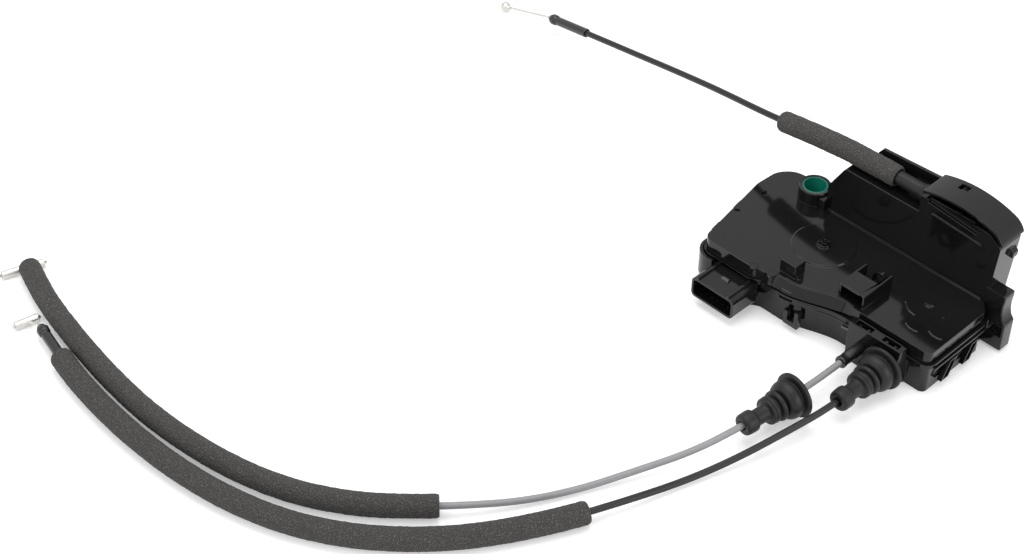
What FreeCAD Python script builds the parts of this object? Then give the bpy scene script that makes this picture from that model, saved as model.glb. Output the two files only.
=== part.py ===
import FreeCAD, Part
import os
from math import acos, atan2, cos, degrees, hypot, pi, radians, sin, sqrt, tan

# Car door lock: an actuator tray with its cover, an upright latch at the back of it, and three
# pull cables. Lengths are in millimetres. While it is modelled, X runs along the latch, Y from
# the front of the tray to the latch, Z up, and zero is the bottom of the tray's front right corner.
# It is moved at the end, so that the origin is under the middle of the lock.

Vec = FreeCAD.Vector
UP = Vec(0, 0, 1)
BACK = Vec(0, 1, 0)
RIGHT = Vec(1, 0, 0)

# Clearances
RUNNING = 0.08
LOOSE = 0.3
TOUCH = 0.05

# Tray and cover heights
COVER_TOP = 34.5
COVER_SKIN = 2.2
COVER_SKIRT = 2.0
SEAL_LOW = 25.0
SEAL_HEIGHT = 2.0
TRAY_WALL = 2.5
TRAY_FLOOR = 2.5
TRAY_INSET = 0.8
RIM_HEIGHT = 3.4
RIM_PROUD = 1.6
COVER_LOW = SEAL_LOW + SEAL_HEIGHT
COVER_UNDER = COVER_TOP - COVER_SKIN
RIM_LOW = SEAL_LOW - RIM_HEIGHT

# Plan of the tray, anticlockwise from the front right corner, each with its corner radius
TRAY_DEPTH = 66.0
KEY_TOWER_DEPTH = 19.0
LATCH_LEFT = -137.5
PLAN = [
    (0.0, 0.0, 5.0),
    (0.0, TRAY_DEPTH - 8.5, 2.0),
    (-7.0, TRAY_DEPTH, 2.0),
    (LATCH_LEFT, TRAY_DEPTH, 0.0),
    (LATCH_LEFT, TRAY_DEPTH + KEY_TOWER_DEPTH, 3.0),
    (-186.2, TRAY_DEPTH + KEY_TOWER_DEPTH, 26.0),
    (-185.8, 52.0, 20.0),
    (-173.5, -16.5, 8.0),
    (-133.0, -16.5, 6.0),
    (-82.0, 0.0, 6.0),
]
RIGHT_SIDE = PLAN[0:2]
LEFT_FLANK = PLAN[6:8]
FRONT_SLOPE = PLAN[8:10]

# Latch upright
LATCH_DEPTH = 22.0
LATCH_BACK = TRAY_DEPTH + LATCH_DEPTH
LATCH_SKIN = 4.0
LATCH_RIGHT_LOW = -6.0
LATCH_RIGHT_HIGH = -3.0
SHELF_TOP = 72.6
SHELF_LEFT = -126.6
SHELF_RIGHT = -66.0
LATCH_TOP = 87.0
LATCH_LEFT_STEP = 53.4
REAR_RIB = 2.4
REAR_RIB_TOP = 90.0
CHAMBER_LEFT = -118.5
CHAMBER_RIGHT = -14.0
CHAMBER_LOW = 4.0
CHAMBER_TOP = 69.5
FACE_SHEET = 2.0
BACK_SHEET = 1.5
SHEET_GAP = 0.1

# Claw and pawl, seen from the front, about the claw's pin
CLAW_X = -84.0
CLAW_Z = 35.0
CLAW_PIN_R = 5.0
CLAW_BOSS_R = 12.5
CLAW_RIM_R = 29.0
CLAW_TOOTH_R = 32.5
CLAW_THICK = 8.0
CLAW_SETBACK = 4.0
CLAW_FRONT = LATCH_BACK - CLAW_SETBACK - CLAW_THICK
CLAW_TURN = 62.0
STRIKER_R = 5.0
STRIKER_REACH = 23.5
STRIKER_ANGLE = 12.3
STRIKER_SLACK = 0.6
TOOTH_START = 45.0
TOOTH_END = 70.0
RIM_END = 110.0
LOWER_ARM_END = -33.0
PAWL_STRUT = 26.0
PAWL_BOSS_R = 6.5
PAWL_PIN_R = 3.5
PAWL_THICK = 6.0
PAWL_SETBACK = 5.0
PAWL_FRONT = LATCH_BACK - PAWL_SETBACK - PAWL_THICK
PAWL_RIDE = 9.0
PAWL_SPARE = 4.0
PAWL_TAIL = 21.0
MOUTH_TOP = 47.0

# Fixing screws of the face plate
SCREW_TAP_R = 2.55
SCREW_COLLAR_R = 5.4
SCREW_COLLAR = 5.0
SCREW_SPOTS = [(-109.5, 60.0), (-109.5, 13.0), (-20.5, 17.0)]

# Key coupler
KEY_X = -150.0
KEY_Y = TRAY_DEPTH + 3.0
KEY_TOP = 44.6
KEY_BOSS_TOP = 43.0
KEY_BOSS_R = 11.0
KEY_RIM_R = 9.7
KEY_BODY_R = 8.5
KEY_CUP_R = 8.4
KEY_CUP_LOW_R = 4.4
KEY_CUP_DEPTH = 11.0
KEY_STEM_R = 4.5
KEY_TURN = 45.0

# Two motor drives
WORM_PITCH = 2.5
WORM_R = 3.4
WORM_CORE_R = 2.3
WORM_LENGTH = 15.0
SHAFT_IN_WORM = 12.0
SHAFT_R = 0.8
TOOTH_DEPTH = 1.8
DRIVE_Z = 21.8
WHEEL_RIM = 4.0
SPINDLE_R = 2.2
HUB_R = 5.5
HUB_LOW = 15.5
SAFE_WHEEL_X = -112.6
SAFE_WHEEL_Y = 33.9
SAFE_TEETH = 46
LOCK_WHEEL_X = -29.1
LOCK_WHEEL_Y = TRAY_DEPTH - 27.7
LOCK_TEETH = 31
MOTOR_R = 10.05
MOTOR_FLAT = 14.6
MOTOR_LENGTH = 22.0
WHEEL_TURN = 90.0

# Levers in the tray
LEVER_SHEET = 3.0
LEVER_PIN_R = 2.5
LOW_LEVEL = 5.0
HIGH_LEVEL = 10.0
INSIDE_PIVOT = (-68.0, 14.5)
INSIDE_SWING = 37.0
LOCK_PIVOT = (-8.6, 13.5)
LOCK_SWING = 44.0
SAFE_PIVOT = (-92.0, 16.0)
SAFE_SWING = 27.0

# Pull cables
CONDUIT_R = 2.25
CORE_R = 0.8
CORE_BORE_R = 1.05
FOAM_R = 7.5
FOAM_BORE = CONDUIT_R + LOOSE
FERRULE_R = 3.85
FERRULE_OUT = 21.0
FERRULE_IN = 10.0
BLOCK_FRONT = -9.0
INSIDE_CABLE_X = -45.5
KNOB_CABLE_X = -24.4
CABLE_Z = 16.0
HANDLE_CABLE_Y = TRAY_DEPTH + LATCH_DEPTH / 2
HANDLE_CABLE_Z = SHELF_TOP + FOAM_R + 2 * LOOSE
LYING = FOAM_R + 0.25
RUN_SHARE = 0.45

INSIDE_ROUTE = [
    (INSIDE_CABLE_X, -29.0, CABLE_Z), (INSIDE_CABLE_X, -60.0, CABLE_Z), (-52.9, -119.0, 15.3),
    (-62.0, -149.0, 10.5), (-77.0, -180.0, 6.0), (-92.0, -215.0, 3.6), (-109.0, -247.5, 4.2),
    (-129.5, -278.0, LYING), (-147.0, -297.0, LYING), (-171.0, -320.5, LYING),
    (-204.8, -342.0, LYING), (-241.0, -355.0, LYING), (-279.0, -362.6, LYING),
    (-322.0, -366.2, LYING), (-365.0, -364.4, LYING), (-405.0, -359.9, LYING),
    (-438.0, -354.7, LYING), (-458.0, -350.4, LYING), (-470.0, -346.8, LYING),
]
INSIDE_FOAM_ROUTE = INSIDE_ROUTE[7:]
INSIDE_FOAM_REACH = 19.6
INSIDE_CAP = 17.5
INSIDE_TEE = (-493.6, -343.3, 3.2)
INSIDE_TEE_LENGTH = 32.7
INSIDE_PULL = 15.0

KNOB_ROUTE = [
    (KNOB_CABLE_X, -29.0, CABLE_Z), (KNOB_CABLE_X, -61.0, CABLE_Z), (-33.0, -97.0, 11.0),
    (-42.0, -131.0, 6.3), (-53.2, -166.5, 3.6), (-67.0, -212.0, LYING), (-80.5, -243.5, LYING),
    (-98.5, -276.3, LYING), (-115.5, -300.5, LYING), (-137.0, -323.8, LYING),
    (-161.0, -343.5, LYING), (-190.0, -360.5, LYING), (-225.0, -373.0, LYING),
    (-262.0, -380.4, LYING), (-300.0, -383.7, LYING), (-338.0, -383.6, LYING),
    (-370.0, -381.0, LYING), (-388.0, -378.4, LYING), (-398.0, -376.4, LYING),
]
KNOB_FOAM_ROUTE = KNOB_ROUTE[5:]
KNOB_FOAM_REACH = 3.0
KNOB_CAP = 36.0
KNOB_TEE = (-447.9, -371.2, 3.2)
KNOB_TEE_LENGTH = 19.6
KNOB_PULL = 12.0

HANDLE_ROUTE = [
    (-75.0, HANDLE_CABLE_Y, HANDLE_CABLE_Z), (-122.0, HANDLE_CABLE_Y, HANDLE_CABLE_Z),
    (-150.0, 77.0, 78.4), (-174.0, 77.8, 74.6), (-205.4, 80.0, 68.6), (-254.0, 88.2, 58.0), (-300.0, 95.0, 47.0),
    (-345.0, 100.8, 36.2), (-384.0, 106.0, 26.8), (-408.7, 109.0, 21.0),
]
HANDLE_FOAM_FROM = 16.6
HANDLE_FOAM_ROUTE = HANDLE_ROUTE[:5]
HANDLE_CAP = 41.0
HANDLE_BALL = (-491.7, 106.9, 4.3)
BALL_R = 3.9
BALL_COLLAR_R = 1.5
HANDLE_PULL = 14.0
TEE_R = 3.0
CAP_R = 3.5
CORE_STRAIGHT = 2.5
CORE_HIDDEN = 2.0

# Connector
SOCKET_LEFT = -161.0
SOCKET_RIGHT = -125.0
SOCKET_FRONT = -41.0
SOCKET_LOW = 7.0
SOCKET_HIGH = 23.0
SOCKET_WALL = 1.8
SOCKET_FLOOR = -24.0
SOCKET_BACK = -17.0
PIN_SIDE = 1.0
PIN_LENGTH = 8.0
PIN_COLUMNS = 6
PIN_ROWS = 2
PIN_STEP = 4.6
PIN_ROW_STEP = 5.4

PARTS = {}


def box(x0, x1, y0, y1, z0, z1):
    return Part.makeBox(x1 - x0, y1 - y0, z1 - z0, Vec(x0, y0, z0))


def rod(start, radius, length, along=UP):
    return Part.makeCylinder(radius, length, Vec(*start), along)


def taper(start, r0, r1, length, along=UP):
    if abs(r0 - r1) < 1e-6:
        return rod(start, r0, length, along)
    return Part.makeCone(r0, r1, length, Vec(*start), along)


def joined(first, others):
    whole = first.fuse(others) if others else first
    return whole.removeSplitter()


def corner_cuts(points, radii):
    """Where each rounded corner of a closed outline starts, bulges and ends."""
    cuts = []
    count = len(points)
    for i in range(count):
        here = Vec(points[i][0], points[i][1], 0)
        before = Vec(points[i - 1][0], points[i - 1][1], 0) - here
        after = Vec(points[(i + 1) % count][0], points[(i + 1) % count][1], 0) - here
        if radii[i] <= 0:
            cuts.append((here, None, here))
            continue
        before_way = Vec(before).normalize()
        after_way = Vec(after).normalize()
        half = acos(max(-1.0, min(1.0, before_way.dot(after_way)))) / 2
        reach = min(radii[i] / tan(half), 0.49 * before.Length, 0.49 * after.Length)
        radius = reach * tan(half)
        middle_way = (before_way + after_way).normalize()
        bulge = here + middle_way * (radius / sin(half) - radius)
        cuts.append((here + before_way * reach, bulge, here + after_way * reach))
    return cuts


def outline(points, radius=0.0, place=None):
    """A closed wire with rounded corners. Each point may carry its own radius."""
    place = place or (lambda p: Vec(p.x, p.y, 0))
    radii = [p[2] if len(p) > 2 else radius for p in points]
    cuts = corner_cuts(points, radii)
    edges = []
    for i, (start, bulge, end) in enumerate(cuts):
        if bulge is not None:
            edges.append(Part.Arc(place(start), place(bulge), place(end)).toShape())
        following = cuts[(i + 1) % len(cuts)][0]
        if (following - end).Length > 1e-6:
            edges.append(Part.LineSegment(place(end), place(following)).toShape())
    return Part.Wire(Part.__sortEdges__(edges))


def slab(points, low, high, along="Z", radius=0.0):
    """An outline pushed along an axis: (x, y) for Z, (x, z) for Y and (y, z) for X."""
    places = {
        "Z": (lambda p: Vec(p.x, p.y, low), UP),
        "Y": (lambda p: Vec(p.x, low, p.y), BACK),
        "X": (lambda p: Vec(low, p.x, p.y), RIGHT),
    }
    place, way = places[along]
    return Part.Face(outline(points, radius, place)).extrude(way * (high - low))


def turned(profile, start, along=UP):
    """A profile of (radius, height) points turned about a line."""
    points = [Vec(r, 0, h) for r, h in profile]
    edges = [Part.LineSegment(a, b).toShape() for a, b in zip(points, points[1:] + points[:1])]
    solid = Part.Face(Part.Wire(edges)).revolve(Vec(0, 0, 0), UP, 360)
    return aimed(solid, start, along)


def aimed(shape, start, along):
    """Turn a shape made along Z at zero to start at a point and run along a line."""
    shape = shape.copy()
    turn = FreeCAD.Placement(Vec(*start), FreeCAD.Rotation(UP, along))
    shape.Placement = turn.multiply(shape.Placement)
    return shape


def tray_plan(offset, z0, z1):
    """The tray's plan, grown or shrunk, between two heights."""
    wire = outline(PLAN)
    if abs(offset) > 1e-6:
        wire = wire.makeOffset2D(offset)
    face = Part.Face(wire)
    face.translate(Vec(0, 0, z0))
    return face.extrude(UP * (z1 - z0))


def plan_edge_spot(side, share):
    """A place on a side of the plan, with the way that points out of it."""
    x0, y0 = side[0][:2]
    x1, y1 = side[1][:2]
    angle = degrees(atan2(y1 - y0, x1 - x0)) - 90
    return x0 + (x1 - x0) * share, y0 + (y1 - y0) * share, angle


def at_edge(shape, spot):
    """Move a shape made beside x = 0, facing +X, to a side of the plan."""
    x, y, angle = spot
    shape = shape.copy()
    shape.rotate(Vec(0, 0, 0), UP, angle)
    shape.translate(Vec(x, y, 0))
    return shape


# Snap loops on the skirt of the cover, which spring over catches on the tray
LOOP_WIDTH = 9.0
LOOP_THICK = 1.6
LOOP_LOW = 7.0
LOOP_STRAND = 1.9
CATCH_LOW = 11.5
CATCH_HEIGHT = 5.0
FRONT_LOOP = 0.55
LOOP_SPOTS = [plan_edge_spot(RIGHT_SIDE, s) for s in (0.2, 0.42, 0.64, 0.86)]
LOOP_SPOTS += [plan_edge_spot(FRONT_SLOPE, FRONT_LOOP)]
LOOP_SPOTS += [plan_edge_spot(LEFT_FLANK, s) for s in (0.3, 0.7)]


def snap_loop():
    inner = RIM_PROUD + LOOSE
    outer = inner + LOOP_THICK
    half = LOOP_WIDTH / 2
    strap = box(inner, outer, -half, half, LOOP_LOW, COVER_LOW + 2.0)
    window = box(inner - 1, outer + 1, -half + LOOP_STRAND, half - LOOP_STRAND,
                 LOOP_LOW + LOOP_STRAND, RIM_LOW - 1.5)
    shoulder = box(-COVER_SKIRT / 2, outer, -half, half, COVER_LOW, COVER_LOW + 2.0)
    return joined(strap.cut(window), [shoulder])


def snap_catch():
    half = LOOP_WIDTH / 2 - LOOP_STRAND - LOOSE
    out = RIM_PROUD + LOOSE + LOOP_THICK * 0.7
    profile = [(-TRAY_INSET - 1, CATCH_LOW), (out, CATCH_LOW), (out, CATCH_LOW + 1.2),
               (-TRAY_INSET - 1, CATCH_LOW + CATCH_HEIGHT)]
    return slab(profile, -half, half, along="Y")


# Tray
BLOCK_LEFT = -56.5
BLOCK_RIGHT = -15.5
BLOCK_TOP = 28.0
LEDGE_OUT = 4.2
SLOT_LENGTH = 12.5
SLOT_WIDTH = 4.6
SLOT_SPOTS = [-46.5, -25.4]
SLOT_MIDDLE = -4.9
EAR_X = -165.6
EAR_Y = -8.6
EAR_R = 13.4
EAR_TOP = 24.6


def cable_block():
    """The block on the tray's front, with two snap slots on top and two ferrule bores."""
    block = box(BLOCK_LEFT, BLOCK_RIGHT, BLOCK_FRONT, TRAY_INSET + TRAY_WALL, 0, RIM_LOW)
    head = box(BLOCK_LEFT, BLOCK_RIGHT, BLOCK_FRONT, -RIM_PROUD - 0.2, RIM_LOW, BLOCK_TOP)
    block = joined(block, [head])
    for x in SLOT_SPOTS:
        slot = box(x - SLOT_LENGTH / 2, x + SLOT_LENGTH / 2, SLOT_MIDDLE - SLOT_WIDTH / 2,
                   SLOT_MIDDLE + SLOT_WIDTH / 2, BLOCK_TOP - 5.5, BLOCK_TOP + 1)
        block = block.cut(slot)
        for side in (-1, 1):
            tongue = box(x + side * 3.4 - 1.1, x + side * 3.4 + 1.1, SLOT_MIDDLE - SLOT_WIDTH / 2,
                         SLOT_MIDDLE + 0.6, BLOCK_TOP - 6, BLOCK_TOP - 1.2)
            block = block.fuse(tongue)
    gusset = slab([(BLOCK_LEFT - 7, RIM_LOW), (BLOCK_LEFT + 0.5, RIM_LOW),
                   (BLOCK_LEFT + 0.5, RIM_LOW - 10)], BLOCK_FRONT + 2, BLOCK_FRONT + 4, along="Y")
    return joined(block, [gusset])


def corner_ear():
    """The bell-shaped ear outside the front left corner."""
    ear = rod((EAR_X, EAR_Y, 6.0), EAR_R, EAR_TOP - 6.0)
    hollow = rod((EAR_X, EAR_Y, EAR_TOP - 3.0), EAR_R - 2.2, 4.0)
    return ear.cut(hollow)


def motor_cradle(x0, x1, y0, y1, top):
    """Four low walls that hold a motor."""
    outer = box(x0, x1, y0, y1, TRAY_FLOOR - 1, top)
    inner = box(x0 + 1.5, x1 - 1.5, y0 + 1.5, y1 - 1.5, TRAY_FLOOR - 1, top + 1)
    return outer.cut(inner)


def post(x, y, top, radius, bore=0.0):
    solid = rod((x, y, TRAY_FLOOR - 1), radius, top - TRAY_FLOOR + 1)
    if bore > 0:
        solid = solid.cut(rod((x, y, TRAY_FLOOR), bore, top))
    return solid


def housing_base():
    shell = tray_plan(-TRAY_INSET, 0, SEAL_LOW)
    rim = tray_plan(RIM_PROUD, RIM_LOW, SEAL_LOW)
    behind = box(LATCH_LEFT - 1, 40, TRAY_DEPTH - TRAY_INSET, TRAY_DEPTH + 40, -1, SEAL_LOW + 1)
    rim = rim.cut(behind)
    x0, y0, angle = plan_edge_spot(FRONT_SLOPE, 0.5)
    run = hypot(FRONT_SLOPE[1][0] - FRONT_SLOPE[0][0], FRONT_SLOPE[1][1] - FRONT_SLOPE[0][1])
    ledge = at_edge(box(-1, LEDGE_OUT, -run / 2, run / 2, RIM_LOW, SEAL_LOW - 0.6), (x0, y0, angle))
    gate = box(RIM_PROUD + TOUCH, 9, -LOOP_WIDTH / 2 - LOOSE, LOOP_WIDTH / 2 + LOOSE, -1, SEAL_LOW + 1)
    ledge = ledge.cut(at_edge(gate, plan_edge_spot(FRONT_SLOPE, FRONT_LOOP)))
    ledge_right = box(PLAN[-1][0] - 1, BLOCK_LEFT + 1, -LEDGE_OUT, 1, RIM_LOW, SEAL_LOW - 0.6)
    body = joined(shell, [rim, ledge, ledge_right, corner_ear()])
    cavity = tray_plan(-TRAY_INSET - TRAY_WALL, TRAY_FLOOR, SEAL_LOW + 10)
    body = body.cut(cavity)
    body = joined(body, [cable_block()])
    body = body.cut(tray_plan(-TRAY_INSET - TRAY_WALL, TRAY_FLOOR, SEAL_LOW + 10))
    neck = box(SOCKET_LEFT + 3 - TOUCH, SOCKET_RIGHT - 3 + TOUCH, -22, -10,
               SOCKET_LOW + 1.5 - TOUCH, SOCKET_HIGH - 1.5 + TOUCH)
    around = box(SOCKET_LEFT - TOUCH, SOCKET_RIGHT + TOUCH, -40, SOCKET_BACK + TOUCH,
                 SOCKET_LOW - TOUCH, SOCKET_HIGH + 1.7)
    body = body.cut(neck).cut(around)
    for x in (INSIDE_CABLE_X, KNOB_CABLE_X):
        body = body.cut(rod((x, BLOCK_FRONT, CABLE_Z), FERRULE_R + TOUCH, FERRULE_IN + TOUCH, BACK))
        body = body.cut(rod((x, 0, CABLE_Z), CORE_BORE_R, 8, BACK))
    extras = [at_edge(snap_catch(), spot) for spot in LOOP_SPOTS]
    extras += [
        post(SAFE_WHEEL_X, SAFE_WHEEL_Y, 12.0, SPINDLE_R + 2.2, SPINDLE_R + TOUCH),
        post(LOCK_WHEEL_X, LOCK_WHEEL_Y, 12.0, SPINDLE_R + 2.2, SPINDLE_R + TOUCH),
        post(KEY_X, KEY_Y, 14.0, KEY_STEM_R + 2.0, KEY_STEM_R - 0.8 + RUNNING),
    ]
    for pivot, level in ((INSIDE_PIVOT, LOW_LEVEL), (LOCK_PIVOT, HIGH_LEVEL), (SAFE_PIVOT, HIGH_LEVEL)):
        extras.append(post(pivot[0], pivot[1], level - LOOSE, LEVER_PIN_R + 2, LEVER_PIN_R + TOUCH))
    extras.append(motor_cradle(*SAFE_CRADLE, top=DRIVE_Z - MOTOR_R + 3))
    extras.append(motor_cradle(*LOCK_CRADLE, top=DRIVE_Z - MOTOR_R + 3))
    return joined(body, extras)


def wheel_radius(teeth):
    return teeth * WORM_PITCH / (2 * pi)


SAFE_WORM_X = SAFE_WHEEL_X - wheel_radius(SAFE_TEETH) - TOOTH_DEPTH / 2 - WORM_R - LOOSE
LOCK_WORM_Y = LOCK_WHEEL_Y + wheel_radius(LOCK_TEETH) + TOOTH_DEPTH / 2 + WORM_R + LOOSE
SAFE_MOTOR_END = SAFE_WHEEL_Y - 17.0
LOCK_MOTOR_END = LOCK_WHEEL_X - 15.0
CRADLE = 1.5 + LOOSE
SAFE_CRADLE = (SAFE_WORM_X - MOTOR_FLAT / 2 - CRADLE, SAFE_WORM_X + MOTOR_FLAT / 2 + CRADLE,
               SAFE_MOTOR_END - MOTOR_LENGTH - CRADLE, SAFE_MOTOR_END + CRADLE)
LOCK_CRADLE = (LOCK_MOTOR_END - MOTOR_LENGTH - CRADLE, LOCK_MOTOR_END + CRADLE,
               LOCK_WORM_Y - MOTOR_FLAT / 2 - CRADLE, LOCK_WORM_Y + MOTOR_FLAT / 2 + CRADLE)


# Cover
DOME_R = 22.0
DOME_RISE = 0.9
CAP_BOSS_R = 4.8
CAP_BOSS_RISE = 1.7
HOOD_BOX = (-117.3, -104.6, -5.6, 4.6)
HOOD_BOX_TOP = 44.2
CLIP_LEFT = -76.0
CLIP_RIGHT = -55.6
CLIP_FRONT = 3.4
CLIP_ROOF_END = 20.0
CLIP_LEFT_END = 30.5
CLIP_RIGHT_END = 32.6
CLIP_TOP = 44.8
CLIP_WALL = 1.7
POST_SPOTS = [(-131.0, -15.2), (-117.5, -11.0)]


def groove_ring(x, y, radius, start, end, width=0.9):
    """A curved groove, a part of a ring, cut half a millimetre into the cover."""
    ring = rod((x, y, COVER_TOP - 0.5), radius + width / 2, 2)
    ring = ring.cut(rod((x, y, COVER_TOP - 1), radius - width / 2, 4))
    reach = radius * 3
    middle = (start + end) / 2
    wedge = slab([(x, y), (x + reach * cos(radians(start)), y + reach * sin(radians(start))),
                  (x + reach * cos(radians(middle)), y + reach * sin(radians(middle))),
                  (x + reach * cos(radians(end)), y + reach * sin(radians(end)))],
                 COVER_TOP - 2, COVER_TOP + 3)
    return ring.common(wedge)


def gear_domes():
    """Raised rounds over the two wheels, with their spindle bosses."""
    dome = taper((SAFE_WHEEL_X, SAFE_WHEEL_Y, COVER_TOP - 0.1), DOME_R, DOME_R - 0.8, DOME_RISE + 0.1)
    boss = taper((SAFE_WHEEL_X, SAFE_WHEEL_Y, COVER_TOP), CAP_BOSS_R, CAP_BOSS_R - 0.5,
                 DOME_RISE + CAP_BOSS_RISE)
    small = taper((LOCK_WHEEL_X, LOCK_WHEEL_Y, COVER_TOP - 0.1), 3.4, 2.9, 1.5)
    return [dome, boss, small]


def boss_pits():
    """Four pits that leave a cross in the big boss."""
    top = COVER_TOP + DOME_RISE + CAP_BOSS_RISE
    pits = []
    for sx in (-1, 1):
        for sy in (-1, 1):
            pits.append(rod((SAFE_WHEEL_X + sx * 1.75, SAFE_WHEEL_Y + sy * 1.75, top - 1.6), 1.25, 3))
    return pits


def hood_box():
    x0, x1, y0, y1 = HOOD_BOX
    outer = box(x0, x1, y0, y1, COVER_TOP - 1, HOOD_BOX_TOP)
    web = slab([(x1 - 0.5, COVER_TOP - 1), (x1 + 3.2, COVER_TOP - 1), (x1 - 0.5, COVER_TOP + 4.5)],
               y0 + 1, y0 + 2.4, along="Y")
    return joined(outer, [web])


def clip_box():
    """The open clip for a wiring loom: a roofed mouth, two side walls and a hook."""
    roof = box(CLIP_LEFT, CLIP_RIGHT, CLIP_FRONT, CLIP_ROOF_END, CLIP_TOP - CLIP_WALL, CLIP_TOP)
    left = box(CLIP_LEFT, CLIP_LEFT + CLIP_WALL, CLIP_FRONT, CLIP_LEFT_END, COVER_TOP - 1, CLIP_TOP)
    right = box(CLIP_RIGHT - CLIP_WALL, CLIP_RIGHT, CLIP_FRONT, CLIP_RIGHT_END, COVER_TOP - 1, CLIP_TOP)
    back = box(CLIP_LEFT, CLIP_RIGHT, CLIP_ROOF_END - CLIP_WALL, CLIP_ROOF_END, COVER_TOP - 1,
               CLIP_TOP)
    middle = (CLIP_LEFT + CLIP_RIGHT) / 2 + 2.5
    arch_r = 5.8
    arch = rod((middle, CLIP_RIGHT_END - 3.2, COVER_TOP + 3.6), arch_r, 3.2, BACK)
    arch = arch.cut(rod((middle, CLIP_RIGHT_END - 4, COVER_TOP + 3.6), arch_r - 1.7, 5, BACK))
    legs = box(middle - arch_r, middle - arch_r + 1.7, CLIP_RIGHT_END - 3.2, CLIP_RIGHT_END,
               COVER_TOP - 1, COVER_TOP + 4)
    legs2 = box(middle + arch_r - 1.7, middle + arch_r, CLIP_RIGHT_END - 3.2, CLIP_RIGHT_END,
                COVER_TOP - 1, COVER_TOP + 4)
    under = box(middle - 8, middle + 8, CLIP_RIGHT_END - 4, CLIP_RIGHT_END + 1, COVER_TOP - 6,
                COVER_TOP - 0.5)
    hook = joined(arch, [legs, legs2]).cut(under)
    return joined(roof, [left, right, back, hook])


def edge_post(x, y):
    """A half-round post with a flared head on the front edge."""
    return turned([(0, COVER_LOW), (1.7, COVER_LOW), (1.7, COVER_TOP - 1.6), (2.9, COVER_TOP + 0.3),
                   (0, COVER_TOP + 0.3)], (x, y, 0))


def actuator_cover():
    shell = tray_plan(0, COVER_LOW, COVER_TOP)
    extras = [edge_post(*spot) for spot in POST_SPOTS]
    extras += [rod((KEY_X, KEY_Y, COVER_TOP - 1), KEY_BOSS_R, KEY_BOSS_TOP - COVER_TOP + 1)]
    extras += [box(LATCH_LEFT + 2, -9, TRAY_DEPTH - 1.5, TRAY_DEPTH, COVER_TOP - 1, COVER_TOP + 1.3)]
    extras += gear_domes()
    extras += [hood_box(), clip_box()]
    body = joined(shell, extras)
    body = body.cut(tray_plan(-COVER_SKIRT, COVER_LOW - 1, COVER_UNDER))
    body = body.cut(rod((KEY_X, KEY_Y, COVER_UNDER - 1), KEY_BODY_R + RUNNING, 20))
    for pit in boss_pits():
        body = body.cut(pit)
    grooves = [groove_ring(LOCK_WHEEL_X, LOCK_WHEEL_Y, 15.6, 218, 268)]
    grooves += [groove_ring(-23.0, 21.5, 10.6, 236, 292), groove_ring(-8.5, 26.5, 10.8, 238, 296)]
    grooves += [rod((-15.5, 33.0, COVER_TOP - 0.8), 1.2, 3), rod((-176.4, 20.4, COVER_TOP - 1.4), 1.9, 3)]
    grooves += [slab([(-177.6, 44.8), (-172.6, 46.6), (-176.4, 50.2)], COVER_TOP - 1.4, COVER_TOP + 1)]
    x0, x1, y0, y1 = HOOD_BOX
    grooves += [box(x0 + 1.5, x1 - 1.5, y0 + 1.5, y1 - 1.5, COVER_UNDER - 1, HOOD_BOX_TOP - 1.5)]
    for groove in grooves:
        body = body.cut(groove)
    return joined(body, [at_edge(snap_loop(), spot) for spot in LOOP_SPOTS])


def cover_seal():
    ring = tray_plan(-TRAY_INSET, SEAL_LOW, COVER_LOW)
    return ring.cut(tray_plan(-TRAY_INSET - 1.6, SEAL_LOW - 1, COVER_LOW + 1))


# Connector
def connector_shroud():
    outer = slab([(SOCKET_LEFT, SOCKET_LOW), (SOCKET_RIGHT, SOCKET_LOW), (SOCKET_RIGHT, SOCKET_HIGH),
                  (SOCKET_LEFT, SOCKET_HIGH)], SOCKET_FRONT, SOCKET_BACK, along="Y", radius=3.6)
    w = SOCKET_WALL
    inner = slab([(SOCKET_LEFT + w, SOCKET_LOW + w), (SOCKET_RIGHT - w, SOCKET_LOW + w),
                  (SOCKET_RIGHT - w, SOCKET_HIGH - w), (SOCKET_LEFT + w, SOCKET_HIGH - w)],
                 SOCKET_FRONT - 1, SOCKET_FLOOR, along="Y", radius=2.4)
    neck = box(SOCKET_LEFT + 3, SOCKET_RIGHT - 3, -18, -12.4, SOCKET_LOW + 1.5, SOCKET_HIGH - 1.5)
    ribs = [box(x - 1.2, x + 1.2, SOCKET_FRONT, -18.0, SOCKET_HIGH - 1, SOCKET_HIGH + 1.6)
            for x in (SOCKET_LEFT + 4.6, SOCKET_RIGHT - 5.4)]
    latch = slab([(SOCKET_FRONT + 10, SOCKET_HIGH - 0.5), (SOCKET_FRONT + 13, SOCKET_HIGH + 1.6),
                  (SOCKET_FRONT + 14, SOCKET_HIGH + 1.6), (SOCKET_FRONT + 14, SOCKET_HIGH - 0.5)],
                 -146.0, -140.0, along="X")
    key_rib = box(-144.0, -142.0, SOCKET_FRONT + 2, SOCKET_FLOOR + 1, SOCKET_HIGH - w - 1.0,
                  SOCKET_HIGH - w + 0.5)
    body = joined(outer, [neck] + ribs + [latch]).cut(inner)
    body = joined(body, [key_rib])
    for x, z in pin_spots():
        body = body.cut(box(x - PIN_SIDE / 2, x + PIN_SIDE / 2, SOCKET_FLOOR - 1, -10,
                            z - PIN_SIDE / 2, z + PIN_SIDE / 2))
    return body


def pin_spots():
    middle = (SOCKET_LEFT + SOCKET_RIGHT) / 2
    height = (SOCKET_LOW + SOCKET_HIGH) / 2
    spots = []
    for row in range(PIN_ROWS):
        for column in range(PIN_COLUMNS):
            x = middle + (column - (PIN_COLUMNS - 1) / 2) * PIN_STEP
            spots.append((x, height + (row - (PIN_ROWS - 1) / 2) * PIN_ROW_STEP))
    return spots


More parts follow.
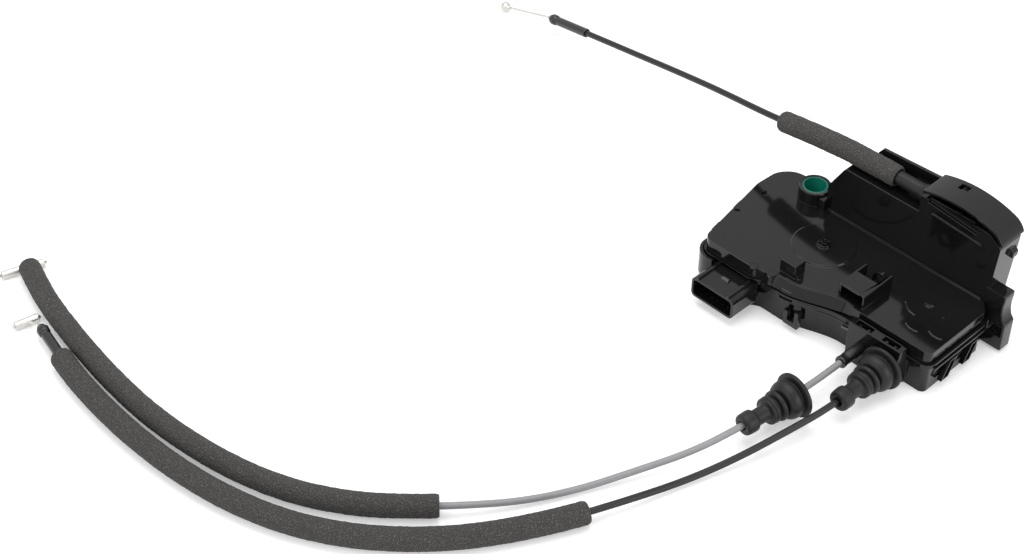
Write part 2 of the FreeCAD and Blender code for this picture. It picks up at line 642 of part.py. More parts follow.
def connector_terminals():
    pins = []
    for x, z in pin_spots():
        pins.append(box(x - PIN_SIDE / 2, x + PIN_SIDE / 2, SOCKET_FLOOR - PIN_LENGTH, -11.0,
                        z - PIN_SIDE / 2, z + PIN_SIDE / 2))
    return Part.makeCompound(pins)


# Drives
def wheel(x, y, teeth):
    """A worm wheel: a thin toothed rim on a webbed disc with a long hub."""
    pitch_r = wheel_radius(teeth)
    tip = pitch_r + TOOTH_DEPTH / 2
    root = pitch_r - TOOTH_DEPTH / 2
    low = DRIVE_Z - WHEEL_RIM / 2
    rim = rod((x, y, low), root, WHEEL_RIM)
    rim = rim.cut(rod((x, y, low + WHEEL_RIM - 1.2), root - 2.4, 2).cut(
        rod((x, y, low), HUB_R, WHEEL_RIM + 2)))
    hub = rod((x, y, HUB_LOW), HUB_R, COVER_UNDER - LOOSE - HUB_LOW)
    half = WORM_PITCH * 0.2
    tooth = slab([(root - 0.6, -half * 1.4), (tip, -half * 0.7), (tip, half * 0.7),
                  (root - 0.6, half * 1.4)], low, low + WHEEL_RIM)
    cogs = []
    for i in range(teeth):
        cog = tooth.copy()
        cog.rotate(Vec(0, 0, 0), UP, 360.0 * i / teeth)
        cog.translate(Vec(x, y, 0))
        cogs.append(cog)
    body = rim.fuse([hub] + cogs).removeSplitter()
    return body.cut(rod((x, y, HUB_LOW - 1), SPINDLE_R + RUNNING, 30))


def spindles():
    pins = []
    for x, y in ((SAFE_WHEEL_X, SAFE_WHEEL_Y), (LOCK_WHEEL_X, LOCK_WHEEL_Y)):
        pins.append(rod((x, y, TRAY_FLOOR + TOUCH), SPINDLE_R, COVER_UNDER - LOOSE - TRAY_FLOOR))
    return Part.makeCompound(pins)


def worm(start, along):
    """A worm on its motor's shaft."""
    profile = [(SHAFT_R, 0), (WORM_CORE_R, 0)]
    for turn in range(int(WORM_LENGTH / WORM_PITCH) - 1):
        root = WORM_PITCH * (turn + 0.75)
        profile += [(WORM_CORE_R, root), (WORM_R, root + 0.4), (WORM_R, root + 1.1), (WORM_CORE_R, root + 1.5)]
    profile += [(WORM_CORE_R, WORM_LENGTH), (SHAFT_R, WORM_LENGTH)]
    return turned(profile, start, along)


def motor(start, along, shaft_length, flat_way):
    """A flat-sided motor that ends where its shaft comes out, with a neck and a shaft."""
    can = Part.makeCylinder(MOTOR_R, MOTOR_LENGTH)
    flat = MOTOR_FLAT / 2
    sides = box(-flat, flat, -MOTOR_R - 1, MOTOR_R + 1, -1, MOTOR_LENGTH + 1)
    can = can.common(sides)
    neck = Part.makeCylinder(3.0, 1.4, Vec(0, 0, MOTOR_LENGTH))
    tail = Part.makeCylinder(3.0, 1.2, Vec(0, 0, -1.2))
    shaft = Part.makeCylinder(SHAFT_R - RUNNING, shaft_length, Vec(0, 0, MOTOR_LENGTH))
    body = joined(can, [neck, tail, shaft])
    if flat_way:
        body.rotate(Vec(0, 0, 0), UP, 90)
    back = Vec(*start) - along * MOTOR_LENGTH
    return aimed(body, (back.x, back.y, back.z), along)


# Levers in the tray
def arm(x0, y0, x1, y1, width, z, end_width=None):
    """A flat lever arm between two rounded ends."""
    end_width = end_width or width
    run = hypot(x1 - x0, y1 - y0)
    body = slab([(0, -width / 2), (run, -end_width / 2), (run, end_width / 2), (0, width / 2)],
                z, z + LEVER_SHEET)
    body = joined(body, [rod((0, 0, z), width / 2, LEVER_SHEET), rod((run, 0, z), end_width / 2, LEVER_SHEET)])
    body.rotate(Vec(0, 0, 0), UP, degrees(atan2(y1 - y0, x1 - x0)))
    body.translate(Vec(x0, y0, 0))
    return body


def nipple_stand(x, y, z):
    """An upright lug that holds a cable's inner end, level with its ferrule."""
    stand = box(x - 3.0, x + 3.0, y - 2.2, y + 2.2, z, CABLE_Z + 3.0)
    slot = box(x - CORE_R - 0.2, x + CORE_R + 0.2, y - 5, y + 5, CABLE_Z - 1, CABLE_Z + 5)
    return stand.cut(slot)


def nipple_rest(pivot, cable_x, swing):
    """Where a cable's inner end starts: half the swing behind the straight-across place."""
    reach = cable_x - pivot[0]
    return pivot[0] + reach * cos(radians(swing / 2)), pivot[1] + abs(reach) * sin(radians(swing / 2))


def pivoted(body, pivot, level):
    hub = rod((pivot[0], pivot[1], level), LEVER_PIN_R + 2.2, LEVER_SHEET + 1.5)
    body = joined(body, [hub])
    return body.cut(rod((pivot[0], pivot[1], level - 1), LEVER_PIN_R + RUNNING, 12))


def inside_release_lever():
    x, y = INSIDE_PIVOT
    end_x, end_y = nipple_rest(INSIDE_PIVOT, INSIDE_CABLE_X, INSIDE_SWING)
    pull = arm(x, y, end_x, end_y, 8.0, LOW_LEVEL, 7.0)
    push = arm(x, y, x + 2.5, 36.0, 8.0, LOW_LEVEL, 6.0)
    tab = box(x - 0.5, x + 5.0, 33.5, 36.0, LOW_LEVEL, LOW_LEVEL + 6.5)
    body = joined(pull, [push, tab, nipple_stand(end_x, end_y, LOW_LEVEL)])
    return pivoted(body, INSIDE_PIVOT, LOW_LEVEL)


def lock_lever():
    x, y = LOCK_PIVOT
    end_x, end_y = nipple_rest(LOCK_PIVOT, KNOB_CABLE_X, LOCK_SWING)
    pull = arm(x, y, end_x, end_y, 7.0, HIGH_LEVEL, 6.5)
    push = arm(x, y, x - 5.0, 36.0, 7.0, HIGH_LEVEL, 5.0)
    body = joined(pull, [push, nipple_stand(end_x, end_y, HIGH_LEVEL)])
    return pivoted(body, LOCK_PIVOT, HIGH_LEVEL)


def safe_lever():
    x, y = SAFE_PIVOT
    one = arm(x, y, x - 14.0, y + 14.0, 8.0, HIGH_LEVEL, 6.0)
    two = arm(x, y, x + 13.0, y + 12.0, 8.0, HIGH_LEVEL, 6.0)
    return pivoted(joined(one, [two]), SAFE_PIVOT, HIGH_LEVEL)


def lever_pins():
    pins = []
    for pivot, level in ((INSIDE_PIVOT, LOW_LEVEL), (LOCK_PIVOT, HIGH_LEVEL), (SAFE_PIVOT, HIGH_LEVEL)):
        top = level + LEVER_SHEET + 1.5 + LOOSE
        pin = rod((pivot[0], pivot[1], TRAY_FLOOR + TOUCH), LEVER_PIN_R, top - TRAY_FLOOR - TOUCH)
        head = rod((pivot[0], pivot[1], top), LEVER_PIN_R + 1.2, 0.8)
        pins.append(joined(pin, [head]))
    return Part.makeCompound(pins)


# Key coupler
def key_coupler():
    cup = turned([(0, KEY_TOP), (KEY_CUP_R, KEY_TOP), (KEY_CUP_LOW_R, KEY_TOP - KEY_CUP_DEPTH),
                  (0, KEY_TOP - KEY_CUP_DEPTH)], (KEY_X, KEY_Y, 0))
    body = turned([(0, 14.2), (KEY_STEM_R, 14.2), (KEY_STEM_R, 24.0), (KEY_BODY_R, 26.0),
                   (KEY_BODY_R, KEY_BOSS_TOP + 0.2), (KEY_RIM_R, KEY_BOSS_TOP + 0.2),
                   (KEY_RIM_R, KEY_TOP), (0, KEY_TOP)], (KEY_X, KEY_Y, 0))
    foot = rod((KEY_X, KEY_Y, 8.0), KEY_STEM_R - 0.8, 7.0)
    slot = box(KEY_X - 3.6, KEY_X + 3.6, KEY_Y - 0.9, KEY_Y + 0.9, KEY_TOP - KEY_CUP_DEPTH - 6,
               KEY_TOP - KEY_CUP_DEPTH + 1)
    return joined(body, [foot]).cut(cup).cut(slot)


def key_lever():
    """The arm that the coupler turns, clamped round its stem."""
    ring = rod((KEY_X, KEY_Y, 16.0), KEY_STEM_R + 2.6, 5.0)
    blade = slab([(KEY_X, KEY_Y - 2.8), (KEY_X + 4, KEY_Y - 2.8), (KEY_X + 4, KEY_Y + 2.8),
                  (KEY_X, KEY_Y + 2.8)], 16, 19)
    finger = slab([(KEY_X - 3.0, KEY_Y), (KEY_X - 1.8, KEY_Y - 13.0), (KEY_X + 1.8, KEY_Y - 13.0),
                   (KEY_X + 3.0, KEY_Y)], 16, 19, radius=1.0)
    body = joined(ring, [blade, finger])
    return body.cut(rod((KEY_X, KEY_Y, 15), KEY_STEM_R + 0.02, 8))


# Latch
def polar(radius, angle, x=CLAW_X, z=CLAW_Z):
    return x + radius * cos(radians(angle)), z + radius * sin(radians(angle))


def claw_closed():
    """The claw as it stands round a caught striker: a rim sector with a mouth and a tooth."""
    back, front = CLAW_FRONT + CLAW_THICK, CLAW_FRONT
    disc = rod((CLAW_X, front, CLAW_Z), CLAW_RIM_R, CLAW_THICK, BACK)
    far = CLAW_TOOTH_R * 1.6
    sector = [(CLAW_X, CLAW_Z)]
    steps = 6
    for i in range(steps + 1):
        angle = LOWER_ARM_END + (RIM_END - LOWER_ARM_END) * i / steps
        sector.append(polar(far, angle))
    keep = slab(sector, front, back, along="Y")
    body = disc.common(keep)
    tooth = rod((CLAW_X, front, CLAW_Z), CLAW_TOOTH_R, CLAW_THICK, BACK)
    wedge = slab([polar(CLAW_BOSS_R, TOOTH_END), polar(CLAW_BOSS_R, TOOTH_START),
                  polar(far, TOOTH_START), polar(far, TOOTH_END)], front, back, along="Y")
    boss = rod((CLAW_X, front, CLAW_Z), CLAW_BOSS_R, CLAW_THICK, BACK)
    body = joined(body, [tooth.common(wedge), boss])
    half = STRIKER_R + STRIKER_SLACK
    seat_x, seat_z = polar(STRIKER_REACH, STRIKER_ANGLE)
    seat = rod((seat_x, front - 1, seat_z), half, CLAW_THICK + 2, BACK)
    way = Vec(cos(radians(STRIKER_ANGLE)), 0, sin(radians(STRIKER_ANGLE)))
    side = Vec(-way.z, 0, way.x)
    start = Vec(seat_x, front - 1, seat_z)
    corners = [start + side * half, start + way * 20 + side * half * 1.25,
               start + way * 20 - side * half * 1.25, start - side * half]
    mouth = Part.Face(Part.makePolygon(corners + corners[:1])).extrude(BACK * (CLAW_THICK + 2))
    body = body.cut(seat).cut(mouth)
    return body.cut(rod((CLAW_X, front - 1, CLAW_Z), CLAW_PIN_R + RUNNING, CLAW_THICK + 2, BACK))


def claw():
    body = claw_closed()
    body.rotate(Vec(CLAW_X, 0, CLAW_Z), BACK, CLAW_TURN)
    return body


NOSE_R = CLAW_RIM_R + 0.5
NOSE_ANGLE = TOOTH_START - 0.9
NOSE_X, NOSE_Z = polar(NOSE_R + 3.0, NOSE_ANGLE)
PAWL_X = NOSE_X + PAWL_STRUT * sin(radians(NOSE_ANGLE))
PAWL_Z = NOSE_Z - PAWL_STRUT * cos(radians(NOSE_ANGLE))


def pawl_engaged():
    """The pawl as it props the claw's tooth: a strut, its boss and a tail."""
    front, back = PAWL_FRONT, PAWL_FRONT + PAWL_THICK
    inner = polar(NOSE_R, NOSE_ANGLE)
    outer = polar(NOSE_R + 8.5, NOSE_ANGLE)
    low = polar(NOSE_R, NOSE_ANGLE - 12)
    strut = slab([inner, outer, (PAWL_X + PAWL_BOSS_R * 0.75, PAWL_Z + PAWL_BOSS_R * 0.6),
                  (PAWL_X - PAWL_BOSS_R * 0.7, PAWL_Z - PAWL_BOSS_R * 0.6), low], front, back, along="Y")
    boss = rod((PAWL_X, front, PAWL_Z), PAWL_BOSS_R, PAWL_THICK, BACK)
    tail_end = (PAWL_X + PAWL_TAIL * cos(radians(-58)), PAWL_Z + PAWL_TAIL * sin(radians(-58)))
    tail = slab([(PAWL_X - 3.4, PAWL_Z - 3), (tail_end[0] - 2.8, tail_end[1] - 1),
                 (tail_end[0] + 2.4, tail_end[1] + 1.6), (PAWL_X + 4.4, PAWL_Z + 1)],
                front, back, along="Y", radius=1.0)
    body = joined(strut, [boss, tail])
    sweep = rod((CLAW_X, front - 1, CLAW_Z), CLAW_TOOTH_R + LOOSE, PAWL_THICK + 2, BACK)
    sweep.rotate(Vec(PAWL_X, 0, PAWL_Z), BACK, -PAWL_RIDE)
    body = body.cut(sweep)
    return body.cut(rod((PAWL_X, front - 1, PAWL_Z), PAWL_PIN_R + RUNNING, PAWL_THICK + 2, BACK))


def pawl():
    body = pawl_engaged()
    body.rotate(Vec(PAWL_X, 0, PAWL_Z), BACK, PAWL_RIDE)
    return body


def latch_pin(x, z, radius):
    """A shouldered pin riveted flush into both plates."""
    inner = TRAY_DEPTH + LATCH_SKIN + BACK_SHEET
    neck = radius * 0.7
    return turned([(0, -BACK_SHEET), (neck, -BACK_SHEET), (neck, 0), (radius, 0),
                   (radius, LATCH_BACK - inner), (neck, LATCH_BACK - inner),
                   (neck, LATCH_BACK - inner + FACE_SHEET - TOUCH),
                   (0, LATCH_BACK - inner + FACE_SHEET - TOUCH)], (x, inner, z), BACK)


def pin_holes(y0, depth):
    return [rod((CLAW_X, y0, CLAW_Z), CLAW_PIN_R * 0.7 + TOUCH, depth, BACK),
            rod((PAWL_X, y0, PAWL_Z), PAWL_PIN_R * 0.7 + TOUCH, depth, BACK)]


MOUTH_X = CLAW_X + STRIKER_REACH
MOUTH_HALF = STRIKER_R + 1.0


def mouth_slot(y0, y1, extra=0.0):
    half = MOUTH_HALF + extra
    slot = box(MOUTH_X - half, MOUTH_X + half, y0, y1, -10, MOUTH_TOP - MOUTH_HALF)
    return joined(slot, [rod((MOUTH_X, y0, MOUTH_TOP - MOUTH_HALF), half, y1 - y0, BACK)])


def face_plate():
    plan = [(-122.0, 2.0, 4), (-7.5, 2.0, 3), (-7.5, 34.0, 6), (-4.0, 76.0, 8), (-14.0, 85.0, 8),
            (-70.0, 85.0, 6), (-118.0, 72.0, 10), (-122.0, 60.0, 6)]
    plate = slab(plan, LATCH_BACK, LATCH_BACK + FACE_SHEET, along="Y")
    plate = plate.cut(mouth_slot(LATCH_BACK - 1, LATCH_BACK + FACE_SHEET + 1))
    collars = [rod((x, LATCH_BACK - SCREW_COLLAR, z), SCREW_COLLAR_R, SCREW_COLLAR + 0.5, BACK)
               for x, z in SCREW_SPOTS]
    plate = joined(plate, collars)
    for x, z in SCREW_SPOTS:
        plate = plate.cut(rod((x, LATCH_BACK - SCREW_COLLAR - 1, z), SCREW_TAP_R, 12, BACK))
    for hole in pin_holes(LATCH_BACK - 1, FACE_SHEET + 2):
        plate = plate.cut(hole)
    return plate


def latch_back_plate():
    low = TRAY_DEPTH + LATCH_SKIN
    plan = [(-116.5, 8.0, 5), (MOUTH_X - 9, 8.0, 2), (MOUTH_X - 9, 30.0, 8), (MOUTH_X + 9, 30.0, 8),
            (MOUTH_X + 9, 8.0, 2), (-16.0, 8.0, 5), (-16.0, 50.0, 6), (-36.0, 54.0, 6), (-40.0, 64.0, 4),
            (-116.5, 64.0, 6)]
    plate = slab(plan, low, low + BACK_SHEET, along="Y")
    for hole in pin_holes(low - 1, BACK_SHEET + 2):
        plate = plate.cut(hole)
    return plate


# The wing on the latch's right side, seen from the front
WING = [(-8.0, 0.0, 0), (10.6, 0.0, 2), (11.4, 21.6, 3), (16.2, 32.0, 1.5), (9.4, 35.0, 3), (7.2, 39.5, 3),
        (10.9, 47.0, 2), (-8.0, 47.0, 0)]
WING_THICK = 7.0
WING_POCKET = [(-1.4, 18.8), (9.4, 19.2), (8.6, 17.2), (-0.6, 13.6)]


def latch_wing():
    wing = slab(WING, TRAY_DEPTH, TRAY_DEPTH + WING_THICK, along="Y")
    pocket = slab(WING_POCKET, TRAY_DEPTH - 1, TRAY_DEPTH + 3.5, along="Y")
    return wing.cut(pocket)


def latch_outline():
    return [(LATCH_LEFT, 0.0, 0), (LATCH_RIGHT_LOW, 0.0, 0), (LATCH_RIGHT_LOW, COVER_TOP, 3),
            (LATCH_RIGHT_HIGH, 80.0, 3), (-13.0, LATCH_TOP, 8), (SHELF_RIGHT, LATCH_TOP, 1),
            (SHELF_RIGHT, SHELF_TOP, 1), (SHELF_LEFT, SHELF_TOP, 2),
            (LATCH_LEFT, LATCH_LEFT_STEP, 3)]


def latch_housing():
    body = slab(latch_outline(), TRAY_DEPTH, LATCH_BACK, along="Y")
    rib = slab([(-113.5, SHELF_TOP - 1), (SHELF_RIGHT + 1, SHELF_TOP - 1),
                (SHELF_RIGHT + 1, REAR_RIB_TOP), (-112.0, REAR_RIB_TOP - 2.5), (-115.2, REAR_RIB_TOP - 7)],
               LATCH_BACK - REAR_RIB, LATCH_BACK, along="Y", radius=0.8)
    lip = box(SHELF_LEFT + 1, SHELF_RIGHT, TRAY_DEPTH, TRAY_DEPTH + 1.6, SHELF_TOP - 1, SHELF_TOP + 1.1)
    pad = box(LATCH_LEFT + 2, LATCH_RIGHT_LOW - 6, TRAY_DEPTH - TRAY_INSET, TRAY_DEPTH + 1, 1.0, RIM_LOW)
    body = joined(body, [rib, lip, pad, latch_wing()])
    inner = TRAY_DEPTH + LATCH_SKIN
    chamber = slab([(CHAMBER_LEFT, CHAMBER_LOW), (CHAMBER_RIGHT, CHAMBER_LOW),
                    (CHAMBER_RIGHT, CHAMBER_TOP), (CHAMBER_LEFT, CHAMBER_TOP)],
                   inner, LATCH_BACK + 1, along="Y", radius=6)
    lever_room = box(SHELF_RIGHT + 6, CHAMBER_RIGHT, inner, LATCH_BACK - 2.5, CHAMBER_TOP - 12,
                     LATCH_TOP + 1)
    body = body.cut(chamber).cut(lever_room)
    body = body.cut(mouth_slot(inner, LATCH_BACK + 1, 0.6))
    body = body.cut(rod((SHELF_RIGHT - 1, HANDLE_CABLE_Y, HANDLE_CABLE_Z), BOOT_R + TOUCH, 12, RIGHT))
    body = body.cut(recess_cut())
    body = body.cut(key_clearance())
    snap = slab([(LATCH_RIGHT_HIGH - 3, 66.0), (LATCH_RIGHT_HIGH + 2.2, 66.0),
                 (LATCH_RIGHT_HIGH + 2.2, 70.0), (LATCH_RIGHT_HIGH - 3, 76.0)],
                LATCH_BACK - 9, LATCH_BACK - 3.4, along="Y")
    return joined(body, [snap])


def key_clearance():
    return rod((KEY_X, KEY_Y, COVER_TOP - 2), KEY_BOSS_R + LOOSE, 40)


def recess_cut():
    """The long wedge under the hood's front lip, two steps deep."""
    upper = slab([(-60.0, 84.6), (-22.0, 80.4), (-19.5, 84.2), (-30.0, LATCH_TOP + 2),
                  (-60.0, LATCH_TOP + 2)], TRAY_DEPTH - 1, TRAY_DEPTH + 2.4, along="Y")
    lower = slab([(-56.0, 77.4), (-17.5, 74.6), (-17.5, 76.6), (-56.0, 80.6)],
                 TRAY_DEPTH - 1, TRAY_DEPTH + 0.9, along="Y")
    return upper.fuse(lower)


# Outside release lever, in the latch
OUTSIDE_PIVOT = (-26.0, 62.0)
OUTSIDE_SWING = 44.0
OUTSIDE_SHOULDER = 2.9
OUTSIDE_FRONT = TRAY_DEPTH + LATCH_SKIN + OUTSIDE_SHOULDER + LOOSE

# Hood over the outside handle's cable
HOOD_LEFT = -64.5
HOOD_SKIN = 2.2
HOOD_FRONT = TRAY_DEPTH - 1.4
BOOT_R = 4.3
BOOT_START = -62.5
BOOT_LENGTH = 28.6


def hood_arc(drop):
    """The hood's top line, lowered by a wall: an arc and a steep right end."""
    start = Vec(HOOD_LEFT, 0, 92.6 - drop)
    crown = Vec(-33.0, 0, 96.6 - drop)
    turn = Vec(-10.0, 0, 91.6 - drop)
    return start, crown, turn


def hood_profile(drop, end_drop):
    start, crown, turn = hood_arc(drop)
    end = Vec(-1.4 - end_drop, 0, 83.0)
    knee = Vec(-4.6 - end_drop * 0.8, 0, 88.2 - drop * 0.6)
    return start, crown, turn, knee, end


def cable_hood():
    top = hood_profile(0, 0)
    low = hood_profile(HOOD_SKIN, HOOD_SKIN)
    edges = [Part.Arc(top[0], top[1], top[2]).toShape(), Part.Arc(top[2], top[3], top[4]).toShape(),
             Part.LineSegment(top[4], low[4]).toShape(), Part.Arc(low[4], low[3], low[2]).toShape(),
             Part.Arc(low[2], low[1], low[0]).toShape(), Part.LineSegment(low[0], top[0]).toShape()]
    face = Part.Face(Part.Wire(edges))
    face.translate(BACK * HOOD_FRONT)
    shell = face.extrude(BACK * (LATCH_BACK - HOOD_FRONT))
    rear = slab([(HOOD_LEFT, LATCH_TOP + 0.1), (-14.0, LATCH_TOP + 0.1), (-14.0, 92.0), (-33.0, 95.0),
                 (HOOD_LEFT, 91.5)], LATCH_BACK - 2.0, LATCH_BACK, along="Y")
    left = box(HOOD_LEFT, HOOD_LEFT + 2.0, TRAY_DEPTH + 12.0, LATCH_BACK, LATCH_TOP + 0.1, 91.5)
    body = joined(shell, [rear, left])
    window = box(-48.5, -41.5, TRAY_DEPTH + 12.5, TRAY_DEPTH + 18.5, 90, 100)
    body = body.cut(window)
    catch = box(-47.0, -43.0, TRAY_DEPTH + 14.0, TRAY_DEPTH + 18.6, 92.6, 94.2)
    return joined(body, [catch])


def outside_release_lever():
    """The lever that the outside handle's cable pulls: an upper arm and a finger by the pawl."""
    x, z = OUTSIDE_PIVOT
    front, back = OUTSIDE_FRONT, OUTSIDE_FRONT + 3.0
    reach = HANDLE_CABLE_Z - z
    tip_x = x + reach * sin(radians(OUTSIDE_SWING / 2))
    tip_z = z + reach * cos(radians(OUTSIDE_SWING / 2))
    upper = slab([(x - 4.5, z), (tip_x - 3.0, tip_z + 2.5), (tip_x + 2.5, tip_z + 1.5), (x + 4.5, z)],
                 front, back, along="Y", radius=1.2)
    finger = slab([(x - 2.0, z + 4.5), (x - 14.0, z - 10.5), (x - 11.0, z - 13.5), (x + 4.0, z - 3.0)],
                  front, back, along="Y", radius=1.2)
    hub = rod((x, front, z), 5.2, 3.0, BACK)
    body = joined(upper, [finger, hub])
    return body.cut(rod((x, front - 1, z), 3.0 + RUNNING, 5, BACK))


def outside_lever_pin():
    x, z = OUTSIDE_PIVOT
    inner = TRAY_DEPTH + LATCH_SKIN
    return turned([(0, 0), (5.0, 0), (5.0, OUTSIDE_FRONT - inner - LOOSE), (3.0, OUTSIDE_FRONT - inner - LOOSE),
                   (3.0, OUTSIDE_FRONT - inner + 3.4), (4.4, OUTSIDE_FRONT - inner + 3.4),
                   (4.0, OUTSIDE_FRONT - inner + 4.4), (0, OUTSIDE_FRONT - inner + 4.4)],
                  (x, inner, z), BACK)


def coil(x, y, z, radius, wire_r, turns, pitch):
    """A wire spring wound round a pin that runs along Y."""
    helix = Part.makeHelix(pitch, pitch * turns, radius)
    ring = Part.Wire([Part.makeCircle(wire_r, Vec(radius, 0, 0), BACK)])
    spring = Part.Wire(helix.Edges).makePipeShell([ring], True, True)
    return aimed(spring, (x, y, z), BACK)


def claw_spring():
    return coil(CLAW_X, CLAW_FRONT - 3.4, CLAW_Z, CLAW_PIN_R + 1.4, 0.7, 1.6, 1.55)


def pawl_spring():
    return coil(PAWL_X, PAWL_FRONT - 4.2, PAWL_Z, PAWL_PIN_R + 1.1, 0.55, 2.6, 1.25)


def striker_bumper():
    """The rubber stop that the striker meets at the end of its slot."""
    low = MOUTH_TOP + 1.0
    body = slab([(MOUTH_X - 7.5, low), (MOUTH_X + 5.0, low), (MOUTH_X + 5.0, low + 5),
                 (MOUTH_X - 7.5, low + 5)], LATCH_BACK - 4.0, LATCH_BACK - 0.1, along="Y", radius=1.5)
    return body


def microswitches():
    """Two sealed switches on the tray's floor that read the key lever and the lock lever."""
    switches = []
    for x, y in ((-163.0, 40.0), (-20.0, 24.5)):
        block = box(x - 6.5, x + 6.5, y - 3, y + 3, TRAY_FLOOR + TOUCH, TRAY_FLOOR + 5.6)
        button = rod((x + 2.5, y, TRAY_FLOOR + 5), 1.0, 1.6)
        switches.append(joined(block, [button]))
    return Part.makeCompound(switches)


def contact_strips():
    """Punched copper strips on the floor, from the connector to the motors and switches."""
    strips = []
    low = TRAY_FLOOR + TOUCH
    for i in range(3):
        y = -9.5 + 2.2 * i
        strips.append(slab([(-157.0, y), (-152.0 - 2.2 * i, y), (-152.0 - 2.2 * i, 30.0),
                            (-153.4 - 2.2 * i, 30.0), (-153.4 - 2.2 * i, y + 1.2), (-157.0, y + 1.2)],
                           low, low + 0.8))
    return Part.makeCompound(strips)


def case_screws():
    """Three screws that hold the latch to the back wall of the tray."""
    screws = []
    for x in CASE_SCREWS:
        head = rod((x, TRAY_DEPTH - TRAY_INSET - TRAY_WALL - 2.0, CASE_SCREW_Z), 3.4, 2.0 - TOUCH, BACK)
        shank = rod((x, TRAY_DEPTH - TRAY_INSET - TRAY_WALL - 1, CASE_SCREW_Z), CASE_SCREW_R, 6.4, BACK)
        drive = rod((x, TRAY_DEPTH - TRAY_INSET - TRAY_WALL - 3.0, CASE_SCREW_Z), 1.4, 2.2, BACK)
        screws.append(joined(head, [shank]).cut(drive))
    return Part.makeCompound(screws)


CASE_SCREWS = (-128.0, -88.0, -15.0)
CASE_SCREW_Z = 9.0
CASE_SCREW_R = 1.8


def screw_bores(body):
    for x in CASE_SCREWS:
        body = body.cut(rod((x, TRAY_DEPTH - 10, CASE_SCREW_Z), CASE_SCREW_R + TOUCH, 14, BACK))
    return body


# Cable routes: straight runs joined by arcs that touch them
def bend_radii(points):
    radii = []
    for before, here, after in zip(points, points[1:], points[2:]):
        back = before - here
        ahead = after - here
        turn = pi - acos(max(-1.0, min(1.0, back.dot(ahead) / (back.Length * ahead.Length))))
        radii.append(RUN_SHARE * min(back.Length, ahead.Length) / tan(turn / 2))
    return radii


def path_edges(points, radii):
    edges = []
    last = points[0]
    for i in range(1, len(points) - 1):
        here = points[i]
        back = (points[i - 1] - here).normalize()
        ahead = (points[i + 1] - here).normalize()
        half = acos(max(-1.0, min(1.0, back.dot(ahead)))) / 2
        reach = radii[i - 1] / tan(half)
        start = here + back * reach
        end = here + ahead * reach
        bulge = here + (back + ahead).normalize() * (radii[i - 1] / sin(half) - radii[i - 1])
        edges.append(Part.LineSegment(last, start).toShape())
        edges.append(Part.Arc(start, bulge, end).toShape())
        last = end
    edges.append(Part.LineSegment(last, points[-1]).toShape())
    return edges


def tube(points, radii, radius):
    """A round bar along a route."""
    wire = Part.Wire(path_edges(points, radii))
    ring = Part.Wire([Part.makeCircle(radius, points[0], points[1] - points[0])])
    return wire.makePipeShell([ring], True, False)


def route(points):
    return [Vec(*p) for p in points]


def report_route(name, points, radius):
    points = route(points)
    radii = bend_radii(points)
    solid = tube(points, radii, radius)
    length = sum(e.Length for e in path_edges(points, radii))
    share = solid.Volume / (pi * radius * radius * length)
    print(name, "length", round(length, 1), "least radius", round(min(radii), 1), "volume share",
          round(share, 4), "radii", [round(r) for r in radii])
    return solid


def foam_sleeve(points, radii):
    """A foam tube round a cable, with its bore opened a little at both ends."""
    body = tube(points, radii, FOAM_R).cut(tube(points, radii, FOAM_BORE))
    return body


def end_way(points):
    return (points[-1] - points[-2]).normalize()


def lying_foam(points, reach):
    """The sleeve from the middle of a route's first run to a little past the conduit's end."""
    points = route(points)
    radii = bend_radii(points)
    way = end_way(points)
    tip = points[-1] + way * reach
    stretch = [(points[0] + points[1]) * 0.5] + points[1:-1] + [tip]
    body = foam_sleeve(stretch, radii)
    start_way = (points[1] - points[0]).normalize()
    mouth = aimed(Part.makeCylinder(FOAM_BORE + 2.0, 2.4), tuple(stretch[0] - start_way * 0.4), start_way)
    seat = points[-1] - way * (CAP_OVERLAP + LOOSE)
    cup = aimed(Part.makeCylinder(CAP_R + LOOSE, reach + CAP_OVERLAP + 5), tuple(seat), way)
    return body.cut(mouth).cut(cup)


CAP_OVERLAP = 5.0


def handle_foam():
    points = route(HANDLE_FOAM_ROUTE)
    radii = bend_radii(points)
    start_way = (points[1] - points[0]).normalize()
    stretch = [points[0] + start_way * HANDLE_FOAM_FROM] + points[1:-1]
    stretch += [(points[-2] + points[-1]) * 0.5]
    body = foam_sleeve(stretch, radii)
    mouth = aimed(Part.makeCylinder(FOAM_BORE + 2.0, 2.4), tuple(stretch[0] - start_way * 0.4), start_way)
    return body.cut(mouth)


def end_cap(points, length, bulb):
    """The fitting crimped on a conduit's far end, bored for the inner wire."""
    points = route(points)
    way = end_way(points)
    r = CAP_R
    start = points[-1] - way * CAP_OVERLAP
    full = length + CAP_OVERLAP
    profile = [(0, 0), (r - 0.5, 0), (r, 0.6)]
    if bulb:
        profile += [(r, full - 11), (r - 0.9, full - 10), (r - 0.9, full - 9), (r + 0.5, full - 7.5),
                    (r + 0.7, full - 4), (r - 0.6, full - 0.8), (r - 1.6, full), (0, full)]
    else:
        profile += [(r, full - 3), (r - 1.2, full - 0.6), (r - 1.6, full), (0, full)]
    body = turned(profile, tuple(start), way)
    body = body.cut(aimed(Part.makeCylinder(CONDUIT_R + TOUCH, CAP_OVERLAP + TOUCH), tuple(start), way))
    return body.cut(aimed(Part.makeCylinder(CORE_BORE_R, full + 2), tuple(start), way))


def end_tip(points, length):
    """Where a cap of this length ends, past the end of a route."""
    points = route(points)
    return points[-1] + end_way(points) * length


